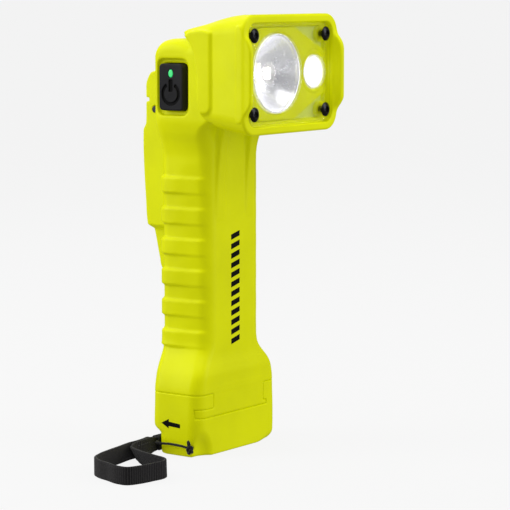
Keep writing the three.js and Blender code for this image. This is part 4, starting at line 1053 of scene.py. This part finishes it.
def cap_field(x, y, z):
    rear = CAP_REAR(z)
    body = rect(x, y - (rear - 16) / 2, CAP_HALF(z), (rear + 16) / 2, 6.5) * 0.9
    body = meet(body, -z, BOTTOM_EDGE(x))
    body = meet(body, z - CAP_TOP, 0.15)
    body = carve(body, rail_field(x, y, z, 0.1), 0.15)
    upper = np.maximum(rect_between(x, y, -17.3, 17.3, -12.8, 5.8, 1.2), between(z, 9, 19.5))
    lower = np.maximum(rect_between(x, y, -15.3, 15.3, -10.8, 3.8, 1.2), between(z, 3, 19.5))
    body = carve(body, np.minimum(upper, lower), 0.3)
    scoop = ellipsoid(x, y, z, (-29, -19, 1), (8, 6.8, 11))
    body = carve(body, scoop, 1.4)
    beside, ahead = x - HOLE[0], y - HOLE[1]
    across = ahead * math.cos(HOLE_LEAN) - beside * math.sin(HOLE_LEAN)
    along = beside * math.cos(HOLE_LEAN) + ahead * math.sin(HOLE_LEAN)
    hole = np.maximum(np.hypot(across, z - HOLE[2]) - 0.95, np.abs(along) - 6)
    pocket = np.maximum(np.hypot(y + 8, z - 5) - 2.2, between(x, -24, -15))
    return carve(carve(body, pocket, 0.2), hole, 0.3)


moulded("tail_cap_shell", cap_field, 0.5, [LOOKS["yellow"]], "cap", "yellow_plastic", "tail_cap")


# -------------------------------------------------------------------------------- clip

CLIP_LOW, CLIP_HIGH = span("clip_lever")
PIN_Y, PIN_Z = 22.5, 160
CLIP_OUT = eased((82.4, 20.4), (84.5, 22.8), (89.5, 24.2), (102.5, 27.2), (106, 28.3), (118, 29.3),
                 (132, 30.2), (144, 30.6), (150, 30.5), (153.4, 28.9), (160, 28.7), (171, 28.7),
                 (175, 27.4), (177.4, 25.4), (178.4, 23))
CLIP_IN = eased((82.4, 15.4), (84, 14.7), (86.5, 15), (89.5, 16.2), (140, 16.2), (150, 17.5),
                (161, 17.6), (177, 21.5), (178.4, 22))


def clip_field(x, y, z):
    side = meet((y - CLIP_OUT(z)) * 0.95, (CLIP_IN(z) - y) * 0.95, 0.5)
    side = meet(side, between(z, CLIP_LOW[2], CLIP_HIGH[2]), 0.9)
    half = eased((80, 10), (102.6, 10), (105.6, 14), (180, 14))(z)
    lever = meet(side, (np.abs(x) - half) * 0.8, 1.5)
    notch = rect(y - 31, z - 164.5, 4.6, 0.9, 0.7)
    lever = carve(lever, notch, 0.7)
    cover = np.maximum(y - CLIP_OUT(z) + 2.4, np.abs(x) - half + 2.2)
    pocket = np.maximum(cover, between(z, 87.4, 173))
    lever = carve(lever, pocket, 0.5)
    bore = np.hypot(y - PIN_Y, z - PIN_Z) - 1.8
    return carve(lever, bore, 0.25)


moulded("clip_arm", clip_field, 0.5, [LOOKS["yellow"]], "clip", "yellow_plastic", "clip_lever")


# ------------------------------------------------------------------------ printed marks

PRINT_PROUD = 0.06


def print_flat(name, outlines, to_point, body):
    """Ink a little proud of a face: each outline is a polygon of (u, v) points."""
    points, faces = [], []
    for outline in outlines:
        first, count = len(points), len(outline)
        for height in (-0.3, PRINT_PROUD):
            points += [to_point(u, v, height) for u, v in outline]
        faces.append([first + count + i for i in range(count)])
        faces += [[first + i, first + (i + 1) % count, first + count + (i + 1) % count,
                   first + count + i] for i in range(count)]
    made = new_object(name, points, faces, [LOOKS["ink_and_groove_shade"]], smooth=False)
    turn_outward(made)
    return settle(made, body, "black_plastic")


def make_stripe_mark():
    """A plain run of slanted stripes down the front of the grip."""
    stripes = []
    half, slant, pitch, thick = 3.3, 1.6, 4.5, 2.5
    for k in range(12):
        low = 50 + k * pitch
        stripes.append([(-half, low), (half, low + slant), (half, low + slant + thick),
                        (-half, low + thick)])
    print_flat("grip_stripes", stripes, lambda u, v, h: (u, -14 - h, v), "housing")


def make_arrow():
    """An arrow on the cap's left side that shows which way it slides off."""
    shaft, head = 0.95, 2.1
    outline = [(5.6, 14.8), (1.3, 14.8 + head), (1.3, 14.8 + shaft), (-5.4, 14.2 + shaft),
               (-5.4, 14.2 - shaft), (1.3, 14.6 - shaft), (1.3, 14.6 - head)]
    print_flat("cap_arrow", [outline], lambda u, v, h: (-CAP_HALF(v) - h, u, v), "cap")


make_stripe_mark()
make_arrow()


# ------------------------------------------------------------- finishes on CAD pieces

CARRIED = {
    "black_steel": ["clip_bracket", "clip_pin"],
    "steel": ["clip_screw_1", "clip_screw_2", "clip_spring", "contact_spring_1", "contact_spring_2"],
    "black": ["button_plunger", "battery_tray"],
    "seal": ["tray_seal", "tray_pressure_pad"],
    "board": ["switch_board", "driver_board"],
    "white_board": ["led_board"],
    "aluminium": ["heat_sink"],
    "cell": ["cell_1", "cell_2", "cell_3"],
}


def finish_carried():
    for look, names in CARRIED.items():
        for name in names:
            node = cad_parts[name]
            node.data.materials.clear()
            node.data.materials.append(LOOKS[look])


finish_carried()


# -------------------------------------------------------------------- floor and lights

BACKDROP = 0.927


def make_floor():
    size = 40.0
    corners = [(-size, -size, 0), (size, -size, 0), (size, size, 0), (-size, size, 0)]
    floor = new_object("floor", np.array(corners) / MM, [(0, 1, 2, 3)], [], smooth=False)
    s = Shader("pale_floor", Roughness=0.9, Specular_IOR_Level=0.0,
               Base_Color=(0.05, 0.05, 0.05, 1), Emission_Color=(1, 1, 1, 1),
               Emission_Strength=0.875)
    floor.data.materials.append(s.material)
    floor.visible_glossy = False
    floor.visible_diffuse = False


def soft_box(name, azimuth, elevation, distance, size, power, colour=(1, 1, 1)):
    """An area light that faces the middle of the flashlight from one direction."""
    data = bpy.data.lights.new(name, "AREA")
    data.shape = "RECTANGLE"
    data.size, data.size_y = size
    data.energy = power
    data.color = colour
    lamp = bpy.data.objects.new(name, data)
    lamp.visible_camera = False
    bpy.context.scene.collection.objects.link(lamp)
    stand_around(lamp, Vector((0, 0, 0.1)), azimuth, elevation, distance)


def make_world():
    """An even white room that polished faces see a little darker than the eye does."""
    world = bpy.data.worlds.new("studio")
    bpy.context.scene.world = world
    world.use_nodes = True
    nodes, links = world.node_tree.nodes, world.node_tree.links
    background = nodes["Background"]
    background.inputs["Color"].default_value = (1, 1, 1, 1)
    ray = nodes.new("ShaderNodeLightPath")
    level = BACKDROP
    for output, value in (("Is Diffuse Ray", 0.42), ("Is Glossy Ray", 0.1)):
        mix = nodes.new("ShaderNodeMix")
        links.new(ray.outputs[output], mix.inputs["Factor"])
        if isinstance(level, float):
            mix.inputs["A"].default_value = level
        else:
            links.new(level, mix.inputs["A"])
        mix.inputs["B"].default_value = value
        level = mix.outputs["Result"]
    links.new(level, background.inputs["Strength"])


make_floor()
make_world()
soft_box("left_box", -138, 25, 1.1, (0.6, 1.1), 8.2)
soft_box("right_box", 25, 20, 1.1, (0.6, 1.1), 6.0)
soft_box("top_box", -60, 80, 1.0, (0.9, 0.9), 5.0)
soft_box("back_box", 150, 45, 1.1, (0.8, 0.5), 2.0)
bpy.context.scene.view_settings.view_transform = "Standard"
